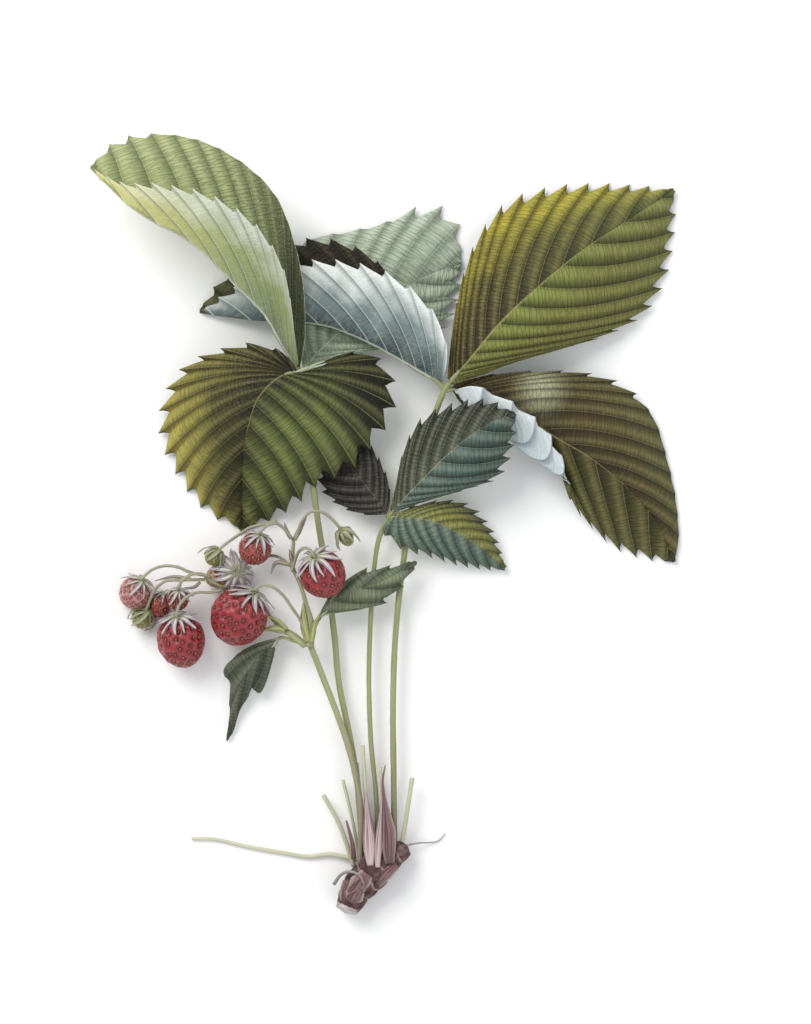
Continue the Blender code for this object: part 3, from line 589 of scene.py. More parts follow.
# ---------------------------------------------------------------- leaf blades
def half_blade(shape, side, midrib):
    """One half of a leaflet: side veins run from the midrib to the teeth of the margin."""
    def own(key, otherwise=None):
        return shape.get(f"{side}_{key}", otherwise)

    teeth, belly = shape["teeth"], own("belly")
    share = np.linspace(0, 1, teeth * ROWS_PER_TOOTH + 1)[:, None]
    part = np.round((share * teeth) % 1, 6) % 1
    flank = np.minimum(part / TOOTH_PEAK, (1 - part) / (1 - TOOTH_PEAK))
    tooth_out = (1 - TOOTH_POINT) * flank**0.85 + TOOTH_POINT * flank**3
    teeth_from, faint = own("teeth_from", (-1, 1))
    strength = np.clip(np.minimum(share - teeth_from, own("teeth_until", 2) - share) / TOOTH_FADE, faint, 1)
    root = at_fraction(midrib, share[:, 0] ** shape["sweep"])
    edge_at = share[:, 0] ** shape.get("crowd", 0.75)
    edge = at_fraction(smooth_path(shape[side], 800), edge_at)
    swell = np.sin(np.pi * share) ** 0.6
    forward = unit(np.gradient(edge, axis=0))
    middle = (root + edge) / 2
    if belly:
        curled = np.clip((CURL_END - share) / CURL_FADE, 0, 1)
        middle = at_fraction(smooth_path(belly, 400), edge_at) * curled + middle * (1 - curled)
    outward = unit(edge - middle)
    room = np.linalg.norm(edge - root, axis=1, keepdims=True)
    size = np.minimum(own("tooth", shape["tooth"]) * np.sin(np.pi * share) ** 0.35 * strength,
                      TOOTH_ROOM * room * np.clip((1 - share) / TIP_SHARE, 0, 1))
    edge = edge + (outward * (tooth_out - 0.5) + forward * tooth_out * 0.25) * size
    if not belly:
        middle = (root + edge) / 2 + swell * np.array([0, 0, own("bulge", 1.5)])
        middle = middle - forward * swell * VEIN_BOW * np.linalg.norm(edge - root, axis=1, keepdims=True)
    control = 2 * middle - (root + edge) / 2
    s = ACROSS_HALF[None, :, None]
    root, edge, control = (x[:, None, :] for x in (root, edge, control))
    return (1 - s) ** 2 * root + 2 * s * (1 - s) * control + s**2 * edge


def vein_reach(grid):
    """How far a spot lies along its side vein, kept level square across neighbouring veins."""
    reach = np.zeros(grid.shape[:2])
    step = np.vstack([np.zeros(3), np.diff(grid[:, COLUMNS], axis=0)])
    for half in (slice(COLUMNS, None, -1), slice(COLUMNS, None)):
        part = grid[:, half]
        lengths = np.linalg.norm(np.diff(part, axis=1), axis=2)
        lead = np.cumsum((step * unit(part[:, -1] - part[:, 0])).sum(axis=1))[:, None]
        reach[:, half] = np.pad(np.cumsum(lengths, axis=1), ((0, 0), (1, 0))) + lead
    return reach


def both_sides(field):
    """The same values for the upper and for the lower side of a sheet."""
    return np.tile(field.reshape(-1, *field.shape[2:]), (2,) + (1,) * (field.ndim - 2))


def leaflet(name, shape, upper, under):
    """A leaflet as one thin piece: veined and pleated, with toothed margins."""
    midrib = smooth_path(shape["midrib"], 400)
    left, right = (half_blade(shape, side, midrib) for side in ("left", "right"))
    grid = np.concatenate([left[:, ::-1], right[:, 1:]], axis=1)
    rows, columns = grid.shape[:2]
    across = np.tile(np.concatenate([-ACROSS_HALF[::-1], ACROSS_HALF[1:]]), (rows, 1))
    along = np.tile(np.linspace(0, 1, rows)[:, None], (1, columns))
    vein = unit(np.gradient(grid, axis=1))
    ahead = np.gradient(grid, axis=0) * (rows - 1) / shape["teeth"]
    ahead = ahead - vein * (ahead * vein).sum(axis=2, keepdims=True)
    pitch = np.clip(np.linalg.norm(ahead, axis=2), 0, WIDEST_STRIP)
    vertices, faces, is_under, out = sheet(grid, BLADE * (1 - RIM_THINNING * np.abs(across) ** 3))
    fields = {"across": across, "along": along, "strip": along * shape["teeth"], "reach": vein_reach(grid),
              "pitch": pitch, "out": out * MM}
    fields = {key: both_sides(field) for key, field in fields.items()}
    fields["below"] = np.repeat([0.0, 1.0], rows * columns)
    piece = make_piece(name, vertices, faces, [upper, under], fields)
    below = piece.data.attributes.new("under_face", "FLOAT", "FACE")
    below.data.foreach_set("value", is_under.astype(np.float32))
    size = shape.get("relief", 1.0)
    grow(piece, PLEATS, {"Pleat height": PLEAT_HEIGHT * size, "Rib height": RIB_HEIGHT * size,
                         "Quilt height": QUILT_HEIGHT, "Upper": upper, "Under": under})
    settle(piece, [name])


# ---------------------------------------------------------------- stems, sheaths, rhizome
def stem(name, points, radii, material, slot="stalk", nodes=None, joins=(JOIN, JOIN), down=0):
    """A round stalk with slightly uneven sides. joins tells how far its root end and its far end
    run into what they meet; down is the number of hairs on a square millimetre."""
    pts = np.array(points, float)
    pts[0] -= unit(pts[1] - pts[0]) * joins[0]
    pts[-1] += unit(pts[-1] - pts[-2]) * joins[1]
    length = np.linalg.norm(np.diff(pts, axis=0), axis=1).sum()
    count = max(6, int(length / STEM_STEP))
    width = spread_along(radii, count)
    vertices, faces, along, out = sweep_rings(smooth_path(pts, count), width, STEM_SIDES)
    turn = np.concatenate([np.tile(2 * np.pi * np.arange(STEM_SIDES) / STEM_SIDES, count), [0, 0]])
    vertices = vertices + out * (wander(vertices, 4.0, 5) * width.mean() * STEM_LUMPS)[:, None]
    skin = np.stack([np.cos(turn), np.sin(turn), along * length], axis=1)
    make_piece(name, vertices, faces, [material], {"skin": skin}, slot, [name] if nodes is None else nodes)
    if down:
        fuzz = make_piece(name + "_down", vertices, faces, [material])
        grow(fuzz, DOWN, {"Density": down / MM**2, "Length": HAIR_LENGTH * MM, "Width": HAIR_WIDTH * MM,
                          "Lean": 0.9, "Seed": 3, "Fibre": FUZZ})
        settle(fuzz)


def strip_blade(name, points, widths, material, slot, nodes=(), thickness=0.2, cup=0.25, columns=9):
    """A narrow pointed blade that faces up, with the given widths along it and a cupped section."""
    path = smooth_path(points, STRIP_ROWS)
    along = unit(np.gradient(path, axis=0))
    across = unit(np.cross(along, np.array(UP)))
    above = np.cross(across, along)
    width = spread_along(widths, STRIP_ROWS)[:, None]
    side = np.linspace(-1, 1, columns)[None, :]
    grid = path[:, None] + across[:, None] * (side * width / 2)[..., None]
    grid = grid + above[:, None] * (-cup * width * side**2)[..., None]
    vertices, faces, _, _ = sheet(grid, thickness)
    share = np.linspace(0, 1, STRIP_ROWS)[:, None]
    fields = {"across": both_sides(side + 0 * share), "along": both_sides(share + 0 * side)}
    make_piece(name, vertices, faces, [material], fields, slot, nodes)


def rhizome(name, points, radii, material):
    """The woody rootstock: ringed by leaf scars, knobbly, and broken off at its old end."""
    count, sides = 190, 110
    path = smooth_path(points, count)
    length = np.linalg.norm(np.diff(path, axis=0), axis=1).sum()
    vertices, faces, along, out = sweep_rings(path, spread_along(radii, count), sides)
    scars = (along * length + 0.9 * wander(vertices, 5.0, 11)) / SCAR_PITCH
    ring = np.abs(np.sin(scars * math.pi)) ** 0.25
    knobs, grain = wander(vertices, 4.0, 12), wander(vertices, 0.9, 13)
    lift = SCAR_HEIGHT * (ring - 0.8) + KNOB_HEIGHT * knobs + GRAIN_HEIGHT * grain
    lift *= np.clip(np.minimum(along, 1 - along) * 14, 0.1, 1)
    moved = vertices + out * lift[:, None]
    moved[:, 2] = np.maximum(moved[:, 2], RHIZOME_GAP)
    edge = np.exp(-((scars % 1 - 0.06) / 0.045) ** 2)
    wear = np.clip(edge * 1.3 + 0.35 * grain * (knobs > 0), 0, 1) * 0.85
    make_piece(name, moved, faces, [material], {"wear": wear}, "rhizome", [name])


# ---------------------------------------------------------------- berries and calyces
def egg(polar, phase, half_length, half_width, taper):
    """A point and its outward direction on a berry, in the berry's own frame (stalk end up)."""
    radius = half_width * np.sin(polar) * (1 - taper * (1 - np.cos(polar)) / 2)
    point = np.stack([radius * np.cos(phase), radius * np.sin(phase), half_length * np.cos(polar)], axis=-1)
    return point, unit(point / np.array([half_width, half_width, half_length]) ** 2)


def turner(axis):
    """Rotation that stands a berry's own frame on its axis."""
    return np.array(UP.rotation_difference(Vector(axis).normalized()).to_matrix()).T


def berry(name, centre, axis, size, skin, coat, slot, depth, pitch, seed_size, rings, sides):
    """A strawberry: a fleshy ball dimpled around every seed, and its seeds as a piece of their own."""
    half_length, half_width, _ = size
    polar = np.repeat(np.pi * np.arange(1, rings) / rings, sides)
    phase = np.tile(2 * np.pi * np.arange(sides) / sides, rings - 1)
    polar, phase = np.concatenate([[0.0], polar, [np.pi]]), np.concatenate([[0.0], phase, [0.0]])
    point, out = egg(polar, phase, *size)
    count = int(4 * np.pi * half_length * half_width / (SEED_ROOM * pitch**2))
    k = np.arange(count) + 0.5
    draw = np.random.default_rng(len(name) + int(abs(centre[0]) * 10))
    shift_along, shift_around = (share * pitch for share in SEED_SHIFT)
    seed_polar = np.arccos(1 - 2 * k / count) + draw.normal(0, shift_along / half_length, count)
    seed_polar = np.clip(seed_polar, 0.01, math.pi - 0.01)
    seed_phase = k * GOLDEN_TURN + draw.normal(0, shift_around / half_width, count)
    seeds, seed_out = egg(seed_polar, seed_phase, *size)
    apart = np.sort(np.linalg.norm(point[:, None] - seeds[None], axis=2), axis=1)[:, :2]
    pit = np.exp(-(apart[:, 0] / (PIT_WIDTH * pitch)) ** 2)
    net = np.exp(-((apart[:, 1] - apart[:, 0]) / (RIDGE_WIDTH * pitch)) ** 2)
    lift = -depth * pit + RIDGE_HEIGHT * net + SKIN_LUMPS * wander(point, 5.0, count)
    turn = turner(axis)
    a = np.arange(rings - 2)[:, None] * sides + 1 + np.arange(sides)
    b = np.roll(a, -1, axis=1)
    faces = np.stack([a, a + sides, b + sides, b], axis=-1).reshape(-1, 4).tolist()
    last = len(point) - 1
    for i in range(sides):
        j = (i + 1) % sides
        faces += [(0, 1 + i, 1 + j), (last, last - sides + j, last - sides + i)]
    fields = {"pit": pit, "net": net * (1 - pit), "along": polar / np.pi}
    vertices = np.array(centre) + (point + out * lift[:, None]) @ turn
    make_piece(name, vertices, faces, [skin], fields, slot, [name])
    keep = seed_polar > BARE_CAP
    spots = (seeds - seed_out * (depth - SEED_RISE))[keep]
    towards = (np.array([0, 0, -1.0]) + seed_out * seed_out[:, 2:])[keep]
    grains = make_piece(name + "_seeds", np.array(centre) + spots @ turn, [], [coat],
                        {"out": seed_out[keep] @ turn, "towards": unit(towards) @ turn})
    measures = (side * MM for side in seed_size)
    grow(grains, SEEDS, {**dict(zip(("Length", "Width", "Depth"), measures)), "Coat": coat})
    settle(grains)


def calyx(name, centre, axis, size, sepals, spread, material, nodes, widest, curl, seed):
    """A ring of pointed sepals and narrower bractlets lying on a berry, their tips lifting off.
    spread is the angle they reach down to, in degrees; curl is how far the tips lift."""
    turn = turner(axis)
    draw = np.random.default_rng(seed)
    t = np.linspace(0, 1, 17)[:, None]
    side = np.linspace(-1, 1, 7)[None, :]
    start = math.radians(SEPAL_START)
    vertices, faces, count = [], [], 0
    for k in range(sepals):
        slim, short, raised = (*BRACTLETS, 0.0) if k % 2 else (1.0, 1.0, 0.2)
        far = math.radians(spread) * (1 + draw.uniform(-SEPAL_CHANGE, SEPAL_CHANGE)) * short
        polar = start + (far - start) * t + 0 * side
        lean = draw.normal(0, 0.16) * t**2
        width = widest * slim * 1.3 * (t + 0.3) ** 0.5 * np.clip(1 - t, 0.0, 1) ** 0.8 + 0.05
        radius = np.maximum(size[1] * np.sin(polar), 0.4)
        phase = 2 * math.pi * (k + draw.uniform(-0.14, 0.14)) / sepals + lean + side * width / 2 / radius
        point, out = egg(polar, phase, *size)
        lift = SEPAL_LIFT + raised + draw.uniform(*curl) * t**2.5 + 0.3 * (side * width) ** 2 * (1 - t)
        wave = 0.1 * np.sin(9 * t + 6 * draw.random()) * side
        grid = point + out * (lift + wave)[..., None]
        blade, rim, _, _ = sheet(np.array(centre) + grid @ turn, SEPAL_THICKNESS)
        faces.append(rim + count)
        vertices.append(blade)
        count += len(blade)
    fields = {"across": side + 0 * t, "along": t + 0 * side}
    fields = {key: np.tile(both_sides(field), sepals) for key, field in fields.items()}
    make_piece(name, np.vstack(vertices), np.vstack(faces).tolist(), [material], fields, "sepal", nodes)


# ---------------------------------------------------------------- measures of the plant
# Midrib and margins run from the leaf stalk to the leaflet's tip. teeth is their number on each
# side; sweep and crowd say how far side veins run forward and how teeth crowd to the tip; bulge is
# how far a half stands up between midrib and margin; belly is the line it curls over; teeth_from
# and teeth_until say where teeth begin and end; relief scales pleats and ribs.
LEAFLETS = {
    # left leaf: one leaflet arches up and is folded along its midrib, one hangs, one lies behind
    "leaflet_left_top": {
        "midrib": [(-23, 40.6, 13.2), (-26.2, 45.4, 13.6), (-31.4, 54.1, 20), (-37.8, 60.5, 24.5),
            (-48.6, 71.2, 28), (-63.3, 79.8, 26), (-76.3, 91.8, 16)],
        "left": [(-22.9, 41, 13.5), (-23.6, 46, 15.5), (-24.2, 54.4, 21), (-27.5, 68.2, 28),
            (-34.7, 77.5, 32), (-44.1, 83.1, 33), (-57, 86.2, 30), (-68, 87.6, 23), (-76.1, 92.1, 16.6)],
        "right": [(-22.4, 41.2, 13.1), (-21.3, 46, 13.4), (-21, 53, 14.2), (-21.5, 62, 15.5),
            (-23.5, 72, 17), (-29, 85.5, 18), (-38, 94, 18), (-50, 99.6, 17.5), (-61, 100.6, 16.5),
            (-72, 97, 15.5), (-76.2, 92.6, 15.6)],
        "teeth": 14, "sweep": 2.2, "left_bulge": 1.2, "right_bulge": -1.5, "left_tooth": 2.3,
        "right_tooth": 3.2, "right_teeth_from": (0.72, 0.12),
    },
    "leaflet_left_bottom": {
        "midrib": [(-23.6, 39.4, 14.4), (-27.5, 38.2, 16), (-32.5, 33.6, 16), (-35.6, 26, 13.5),
            (-37.4, 16, 8.5), (-37.8, 7, 4), (-37.6, -1.2, 0.9)],
        "left": [(-22.9, 39.4, 14.6), (-18.9, 40.2, 15), (-13.5, 43.2, 14.3), (-7.7, 44.7, 12.5),
            (-1.6, 42, 10.6), (1.2, 36, 9.3), (0.1, 28.3, 8.6), (-4, 22.5, 8.6), (-9.5, 15.6, 9),
            (-17.6, 12, 9.4), (-24, 6.3, 6), (-32, 1.2, 2.2), (-37.2, -1.2, 0.9)],
        "right": [(-24, 40, 14.8), (-26.4, 43.9, 16), (-33, 46.4, 14.6), (-43, 45, 10.6),
            (-51.1, 41.6, 6.8), (-57.2, 33, 3.4), (-58.2, 24, 2), (-54, 13.8, 1.4), (-47, 4.5, 1),
            (-38, -1.1, 0.9)],
        "teeth": 14, "sweep": 3.4, "crowd": 0.85, "left_bulge": 2, "right_bulge": 3.2,
    },
    "leaflet_left_behind": {
        "midrib": [(-21.2, 40.2, 12.4), (-18.2, 44.4, 8), (-10, 52, 4.6), (3, 61, 3.6), (12, 65.8, 2.6),
            (19.4, 68.4, 0.9)],
        "left": [(-21.6, 40.8, 12.4), (-22.4, 45, 6.6), (-22.8, 51, 3), (-22.6, 62, 2.2),
            (-21.5, 73.6, 1.8), (-11.6, 76.3, 1.6), (-2.7, 78.1, 1.5), (7, 81.6, 1.3), (15.2, 81.2, 1),
            (18.8, 76, 0.9), (19.3, 69.2, 0.9)],
        "right": [(-20.4, 40.2, 12.2), (-17, 42.4, 10.4), (-9.3, 45.2, 7.2), (-2.3, 45.9, 5.8),
            (7, 47.6, 4.4), (13.9, 52.1, 3), (17.4, 59.5, 1.6), (19.4, 67.6, 0.9)],
        "teeth": 12, "sweep": 2.6, "crowd": 0.9, "left_bulge": 0.3, "right_bulge": 0.4, "tooth": 5,
        "left_teeth_from": (0.62, 0.12), "right_teeth_from": (0.4, 0.12),
    },
    # right leaf: one leaflet rises to the right, one hangs with a curled edge, one is folded shut
    "leaflet_right_top": {
        "midrib": [(16.4, 36.9, 12.6), (20.8, 41.9, 14.4), (29, 51.8, 15), (38.9, 61.3, 13.6),
            (51, 71.4, 10), (63.5, 79.8, 5.6), (74.9, 87.4, 0.9)],
        "left": [(16.1, 37.4, 12.6), (16.5, 44, 11.6), (17.6, 53.6, 9.4), (20.2, 65, 6), (24.5, 75.3, 3.6),
            (31.5, 83.2, 2.2), (42, 87, 1.6), (53, 88.2, 1.2), (65.2, 88, 0.9), (74.6, 87.6, 0.9)],
        "right": [(16.9, 36.7, 12.6), (24.2, 38.8, 12.8), (34, 42.5, 11), (46, 46, 7.6), (57.4, 49.8, 4.6),
            (66.4, 55.4, 2.4), (71.8, 64.6, 1.3), (74, 75, 1), (75.1, 87, 0.9)],
        "teeth": 14, "sweep": 2.3, "left_bulge": 1.6, "right_bulge": 2,
    },
    "leaflet_right_bottom": {
        "midrib": [(17, 35.2, 11.2), (25.4, 34.3, 10.8), (34.6, 30, 10.2), (41.5, 24.4, 9.6), (53, 17.6, 8),
            (63, 9.6, 5), (70.8, 0.5, 2.4), (75, -9.6, 0.9)],
        "left": [(17.3, 35.9, 11.1), (21.5, 37.6, 10.6), (29, 39.2, 9.2), (39.3, 39.9, 7.6),
            (50, 39.6, 5.2), (61.3, 36.2, 3.2), (69, 29.1, 1.8), (73.3, 17, 1.2), (76, 3, 0.9),
            (76.2, -5, 0.9), (75.2, -9.4, 0.9)],
        "right": [(17, 34.9, 11.8), (21.6, 36, 13), (27.4, 34.2, 13.4), (34.6, 30.2, 13),
            (40.4, 25.4, 12.4), (44.6, 18.4, 11), (47, 8.6, 6), (53, 0.4, 2.4), (61, -5.8, 1.1),
            (68.6, -8.2, 0.9), (74.7, -9.8, 0.9)],
        "right_belly": [(16.9, 34.6, 11.4), (19.5, 31.6, 11.8), (25.5, 27.4, 11.8), (32.3, 22.6, 11.4),
            (38.6, 17, 10.8), (45.4, 12.6, 9.6), (51, 9.4, 7.4), (58.6, 4.4, 5), (66, -1.4, 3),
            (72, -6, 1.6), (75.6, -8.7, 0.9)],
        "teeth": 14, "sweep": 2.2, "left_bulge": 2, "relief": 0.8, "right_teeth_from": (0.38, 0.45),
        "left_teeth_from": (-1, 0.1), "left_teeth_until": 0.5,
    },
    "leaflet_right_folded": {
        "midrib": [(14, 36.6, 12.2), (4.6, 42.1, 11.2), (-4.7, 47.3, 10), (-16.3, 51.8, 9),
            (-31.6, 52.8, 6.2), (-48.8, 55.4, 1)],
        "left": [(14.4, 37.2, 12.7), (15.5, 41.7, 14.4), (14.6, 50, 15.6), (9, 58.4, 15.8),
            (0.5, 64.4, 15.2), (-10, 67.4, 13.2), (-21.5, 67.6, 11), (-34, 63.8, 7.6), (-48.6, 55.9, 1.6)],
        "right": [(13.7, 37.3, 12.2), (12.5, 44, 10.2), (8.6, 53, 9.2), (2, 63.5, 8.4), (-5.6, 70.6, 7.6),
            (-16, 73.9, 6.8), (-27, 72.4, 5.4), (-40, 66.6, 3), (-48.9, 56.4, 1.1)],
        "teeth": 13, "sweep": 2.2, "left_bulge": 1.8, "right_bulge": -0.9, "tooth": 2.5, "relief": 0.55,
    },
    # middle leaf: small and flat, in front of the other two stalks
    "leaflet_middle_top": {
        "midrib": [(1.6, 3.6, 8.8), (9, 11.5, 13), (18.8, 20.9, 15.4), (28.2, 27.2, 15.4),
            (33.2, 28.8, 14.8)],
        "left": [(1.3, 4.2, 8.8), (2.4, 9.4, 10), (4.8, 19.9, 11.6), (8.6, 26.4, 12.6), (16.7, 30.5, 13.6),
            (26, 31.7, 14.4), (32.8, 29.2, 14.8)],
        "right": [(2.2, 3.7, 8.8), (10.8, 6.5, 10.2), (20, 9.2, 11.6), (28.4, 12.6, 12.8), (32, 20.4, 14),
            (33.4, 28.2, 14.8)],
        "teeth": 10, "sweep": 2, "left_bulge": 0.9, "right_bulge": 0.9, "tooth": 2.6,
    },
    "leaflet_middle_right": {
        "midrib": [(2, 2.2, 8.3), (11.4, 1.1, 9.4), (21.9, -4.2, 6.8), (30.8, -11.2, 1.6)],
        "left": [(2.3, 2.8, 8.3), (5.9, 4.2, 8.6), (12, 6, 8.2), (20.2, 5.4, 6.4), (26.4, -0.5, 4),
            (30.9, -10.6, 1.6)],
        "right": [(1.7, 1.6, 8.2), (-0.8, -0.4, 8), (2.7, -4.8, 7.6), (11, -7.6, 6), (20, -10.2, 3.2),
            (30.4, -11.7, 1.5)],
        "teeth": 10, "sweep": 2, "left_bulge": 0.8, "right_bulge": 1, "tooth": 2.3,
    },
    "leaflet_middle_left": {
        "midrib": [(0.2, 3.3, 8.2), (-4, 8.6, 7.4), (-9, 14.6, 5.8), (-15.5, 22.2, 4)],
        "left": [(-0.2, 2.9, 8.1), (-4.9, 2.7, 7.2), (-11.6, 4.9, 5.4), (-16.6, 9.6, 4.2), (-17.4, 15, 4),
            (-15.8, 21.9, 4)],
        "right": [(0.6, 3.9, 8.2), (0.8, 9.4, 7.4), (-1, 15, 6.4), (-6, 22, 4.8), (-10, 24.2, 4.2),
            (-15.2, 22.6, 4)],
        "teeth": 8, "sweep": 1.9, "left_bulge": 0.5, "right_bulge": 0.5, "tooth": 1.9,
    },
    # small leaf-like bracts of the flower stalk
    "bract_leaf_right": {
        "midrib": [(-17.9, -25, 8.6), (-15.8, -21.2, 8), (-10, -17.7, 8.2), (-0.3, -14.2, 8.6),
            (7.8, -9.6, 7.8)],
        "left": [(-18.3, -24.8, 8.6), (-16.1, -20.8, 8), (-13.4, -16.6, 7.4), (-8, -12.6, 7.6),
            (0, -11.1, 7.8), (7.5, -9.4, 7.8)],
        "right": [(-17.5, -25.1, 8.6), (-15.3, -21.5, 8), (-9, -22.1, 7.4), (-2.4, -20.9, 7.2),
            (3.6, -16, 7.4), (7.9, -9.9, 7.8)],
        "teeth": 5, "sweep": 2.4, "crowd": 0.9, "left_bulge": 0.4, "right_bulge": 0.5, "tooth": 2.4,
        "relief": 0.7,
    },
    "bract_leaf_left": {
        "midrib": [(-27.5, -29.1, 6), (-29.6, -30.8, 5.6), (-34.6, -35.8, 5), (-38.8, -43.4, 3.6),
            (-41.8, -56.4, 0.9)],
        "left": [(-27.4, -29.3, 6), (-29.8, -31.2, 5.6), (-30.4, -35, 5.2), (-31, -39.6, 4.7),
            (-33.4, -43.9, 3.8), (-34.8, -42.4, 3.8), (-36.4, -45.4, 3.2), (-38.1, -47.8, 2.7),
            (-38.9, -50.2, 2.1), (-40, -53.6, 1.4), (-41.5, -56.4, 0.9)],
        "right": [(-27.7, -29, 6), (-30, -30.2, 5.6), (-34.6, -31.2, 4.8), (-39, -33.9, 4),
            (-42.5, -38.2, 3), (-41.3, -40.6, 2.7), (-41, -45, 2.2), (-41.1, -50, 1.6),
            (-41.9, -56.4, 0.9)],
        "teeth": 5, "sweep": 3.2, "crowd": 1, "left_bulge": 0.6, "right_bulge": 0.6, "tooth": 0.8,
        "relief": 0.3,
    },
}

# Points from the root end outwards, then the radii along them.
STEMS = {
    "petiole_left": ([(-6.2, -84.6, 4.4), (-6.9, -76, 3.8), (-7.7, -66.6, 3.5), (-9.5, -55.9, 3.4),
        (-12.6, -40, 3.4), (-13.6, -29, 3.6), (-15.5, -14.3, 4.2), (-18.1, 2.5, 5.4), (-19.2, 10.8, 6.6),
        (-20.5, 24.7, 9.6), (-22, 38.8, 12.8)], [0.8]),
    "petiole_middle": ([(-2.6, -84, 4.8), (-2.5, -74.3, 4.4), (-4.1, -55.9, 4.2), (-4.6, -40, 4.2),
        (-4, -21.9, 4.5), (-3.2, -10.9, 5), (-1.4, -2, 6.2), (0.5, 1.4, 7.1)], [0.65]),
    "petiole_right": ([(2, -80.5, 4.7), (1.9, -68.1, 4.4), (1.7, -48, 4.3), (2.3, -29.1, 4.5),
        (4.3, -10.3, 5), (6.4, 4, 5.8), (8.7, 14.3, 7), (13.1, 30.2, 10), (15, 35, 11.6)], [0.8]),
    "peduncle": ([(-6.9, -84.4, 6.7), (-6.7, -74.3, 6.4), (-7.8, -66.6, 6.2), (-10.5, -55.9, 6),
        (-13.1, -48.6, 6.4), (-16.4, -40, 7.2), (-19.7, -31.6, 8)], [0.8]),
    "peduncle_upper": ([(-20, -30.9, 8.2), (-19.7, -25.8, 8.8), (-20.9, -20.3, 9.2), (-22.2, -16, 9.5),
        (-24.2, -11.5, 9.8)], [1.3, 1, 0.6, 0.55, 0.55]),
    "peduncle_tip": ([(-24.3, -10.6, 9.9), (-24.3, -7, 10), (-24.1, -4, 10)], [0.55, 0.45]),
    "side_branch": ([(-21.6, -30.9, 7.6), (-24.6, -28.6, 7.2), (-27.4, -26.8, 6.2), (-30.2, -24, 4.6),
        (-32.4, -20.6, 3.2), (-35.4, -17.8, 2.8), (-38, -16.7, 2.9), (-40.2, -16.6, 3.7),
        (-41.3, -16.4, 5.4), (-42.2, -16.3, 7.2), (-43.8, -15.6, 8.5), (-46.6, -13.9, 9.2)],
        [1, 1, 0.8, 0.42, 0.42, 0.42, 0.42, 0.4, 0.4, 0.4, 0.4]),
    "pedicel_1": ([(-21, -27.6, 9.8), (-22.6, -24.2, 10.4), (-24.6, -21.3, 11.2), (-27.1, -17.8, 12),
        (-30, -15.8, 12.6), (-32.6, -15.6, 12.3), (-33.9, -16.6, 11.6)], [0.4]),
    "pedicel_2": ([(-43.4, -17.1, 8.9), (-46, -17.5, 9.6), (-49, -17.5, 10.8), (-51.8, -18.7, 12),
        (-53.8, -21.1, 12.6), (-54.3, -23.2, 12.2)], [0.4]),
    "pedicel_3": ([(-24.3, -11.4, 11), (-23.6, -9, 12.2), (-22.6, -6.8, 14), (-21, -5.9, 16),
        (-19.6, -6.4, 17.4), (-18.8, -7.7, 17.8)], [0.4]),
    "pedicel_4": ([(-24.7, -3.2, 10.6), (-26.5, -1, 11.4), (-28.6, 0.5, 12.2), (-31, -0.2, 12.6),
        (-32.6, -1.7, 12.3)], [0.4]),
    "pedicel_5": ([(-47.6, -13, 9.9), (-51.1, -12.2, 10.1), (-54.2, -10.9, 10.2), (-57.7, -10.6, 9.8),
        (-61.2, -11.8, 9), (-63.3, -13.7, 8.4)], [0.4]),
    "pedicel_6": ([(-46.4, -13.2, 10.5), (-48.6, -12.6, 11.4), (-51, -13, 12), (-53, -14.5, 12.1),
        (-54, -16.2, 11.6)], [0.4]),
    "pedicel_7": ([(-25.1, -10.6, 9), (-27.5, -8.6, 7.2), (-30, -8, 4.8), (-33, -8.8, 3.2),
        (-35.8, -9.8, 3.9), (-37.4, -10, 5.5)], [0.4]),
    "pedicel_8": ([(-47.8, -14.2, 8.9), (-53, -14.3, 9), (-57.7, -14.7, 8.6), (-60.4, -17.1, 7.6),
        (-61.7, -19.8, 6.2), (-62.6, -22, 5.2)], [0.4]),
    "pedicel_9": ([(-29.2, 0.9, 10.8), (-32.4, 0.1, 8.8), (-35.7, -0.8, 7.6), (-38.5, -2.6, 7.8),
        (-41.5, -4.7, 8.5), (-43.3, -6.2, 8.3)], [0.4]),
    "pedicel_10": ([(-23.4, -3.2, 10.4), (-21.8, 1.2, 11.2), (-19.4, 3.5, 11.8), (-16.8, 3.4, 11.8),
        (-14.2, 1.6, 10.9), (-12.2, -0.7, 9.6)], [0.4]),
    "runner": ([(-50.9, -82.1, 0.62), (-45.8, -82.2, 0.62), (-36.3, -84.2, 0.62), (-26.7, -85.9, 0.62),
        (-20.8, -86.8, 0.7), (-14.8, -86.2, 1), (-10.6, -87, 1.4)], [0.4, 0.55, 0.55]),
    "rootlet": ([(5.8, -83.6, 3.6), (8.8, -83.1, 1.8), (11.6, -83.1, 0.6), (13.4, -82.8, 0.36),
        (14.9, -81.2, 0.36)], [0.32, 0.2, 0.1]),
    "root_stub": ([(-13.3, -93, 6.4), (-11.8, -90.9, 7.4), (-9.2, -90, 8.8), (-6.9, -91, 9.6),
        (-6.1, -92.6, 9.6)], [0.5, 0.42, 0.36, 0.2]),
    "old_stalk_1": ([(-9.7, -85.8, 3), (-12.7, -77.4, 3), (-16.5, -70.5, 3.2)], [0.6]),
    "old_stalk_2": ([(-7.8, -83, 2.4), (-9.6, -74, 2.6), (-11.4, -66.6, 2.8)], [0.44]),
    "old_stalk_3": ([(-6.7, -78.6, 1.6), (-7, -70, 1.5), (-7.6, -62.3, 1.5)], [0.4]),
    "old_stalk_4": ([(-4.9, -80, 5.5), (-5.4, -71, 5.2), (-6.2, -57.4, 5)], [0.48]),
    "old_stalk_5": ([(-1.2, -82, 6), (-1.1, -72, 5.9), (-1.6, -63, 5.9)], [0.44]),
    "old_stalk_6": ([(4.3, -81.4, 4.8), (5.5, -74, 4.7), (6.7, -66, 4.6)], [0.56, 0.64]),
}

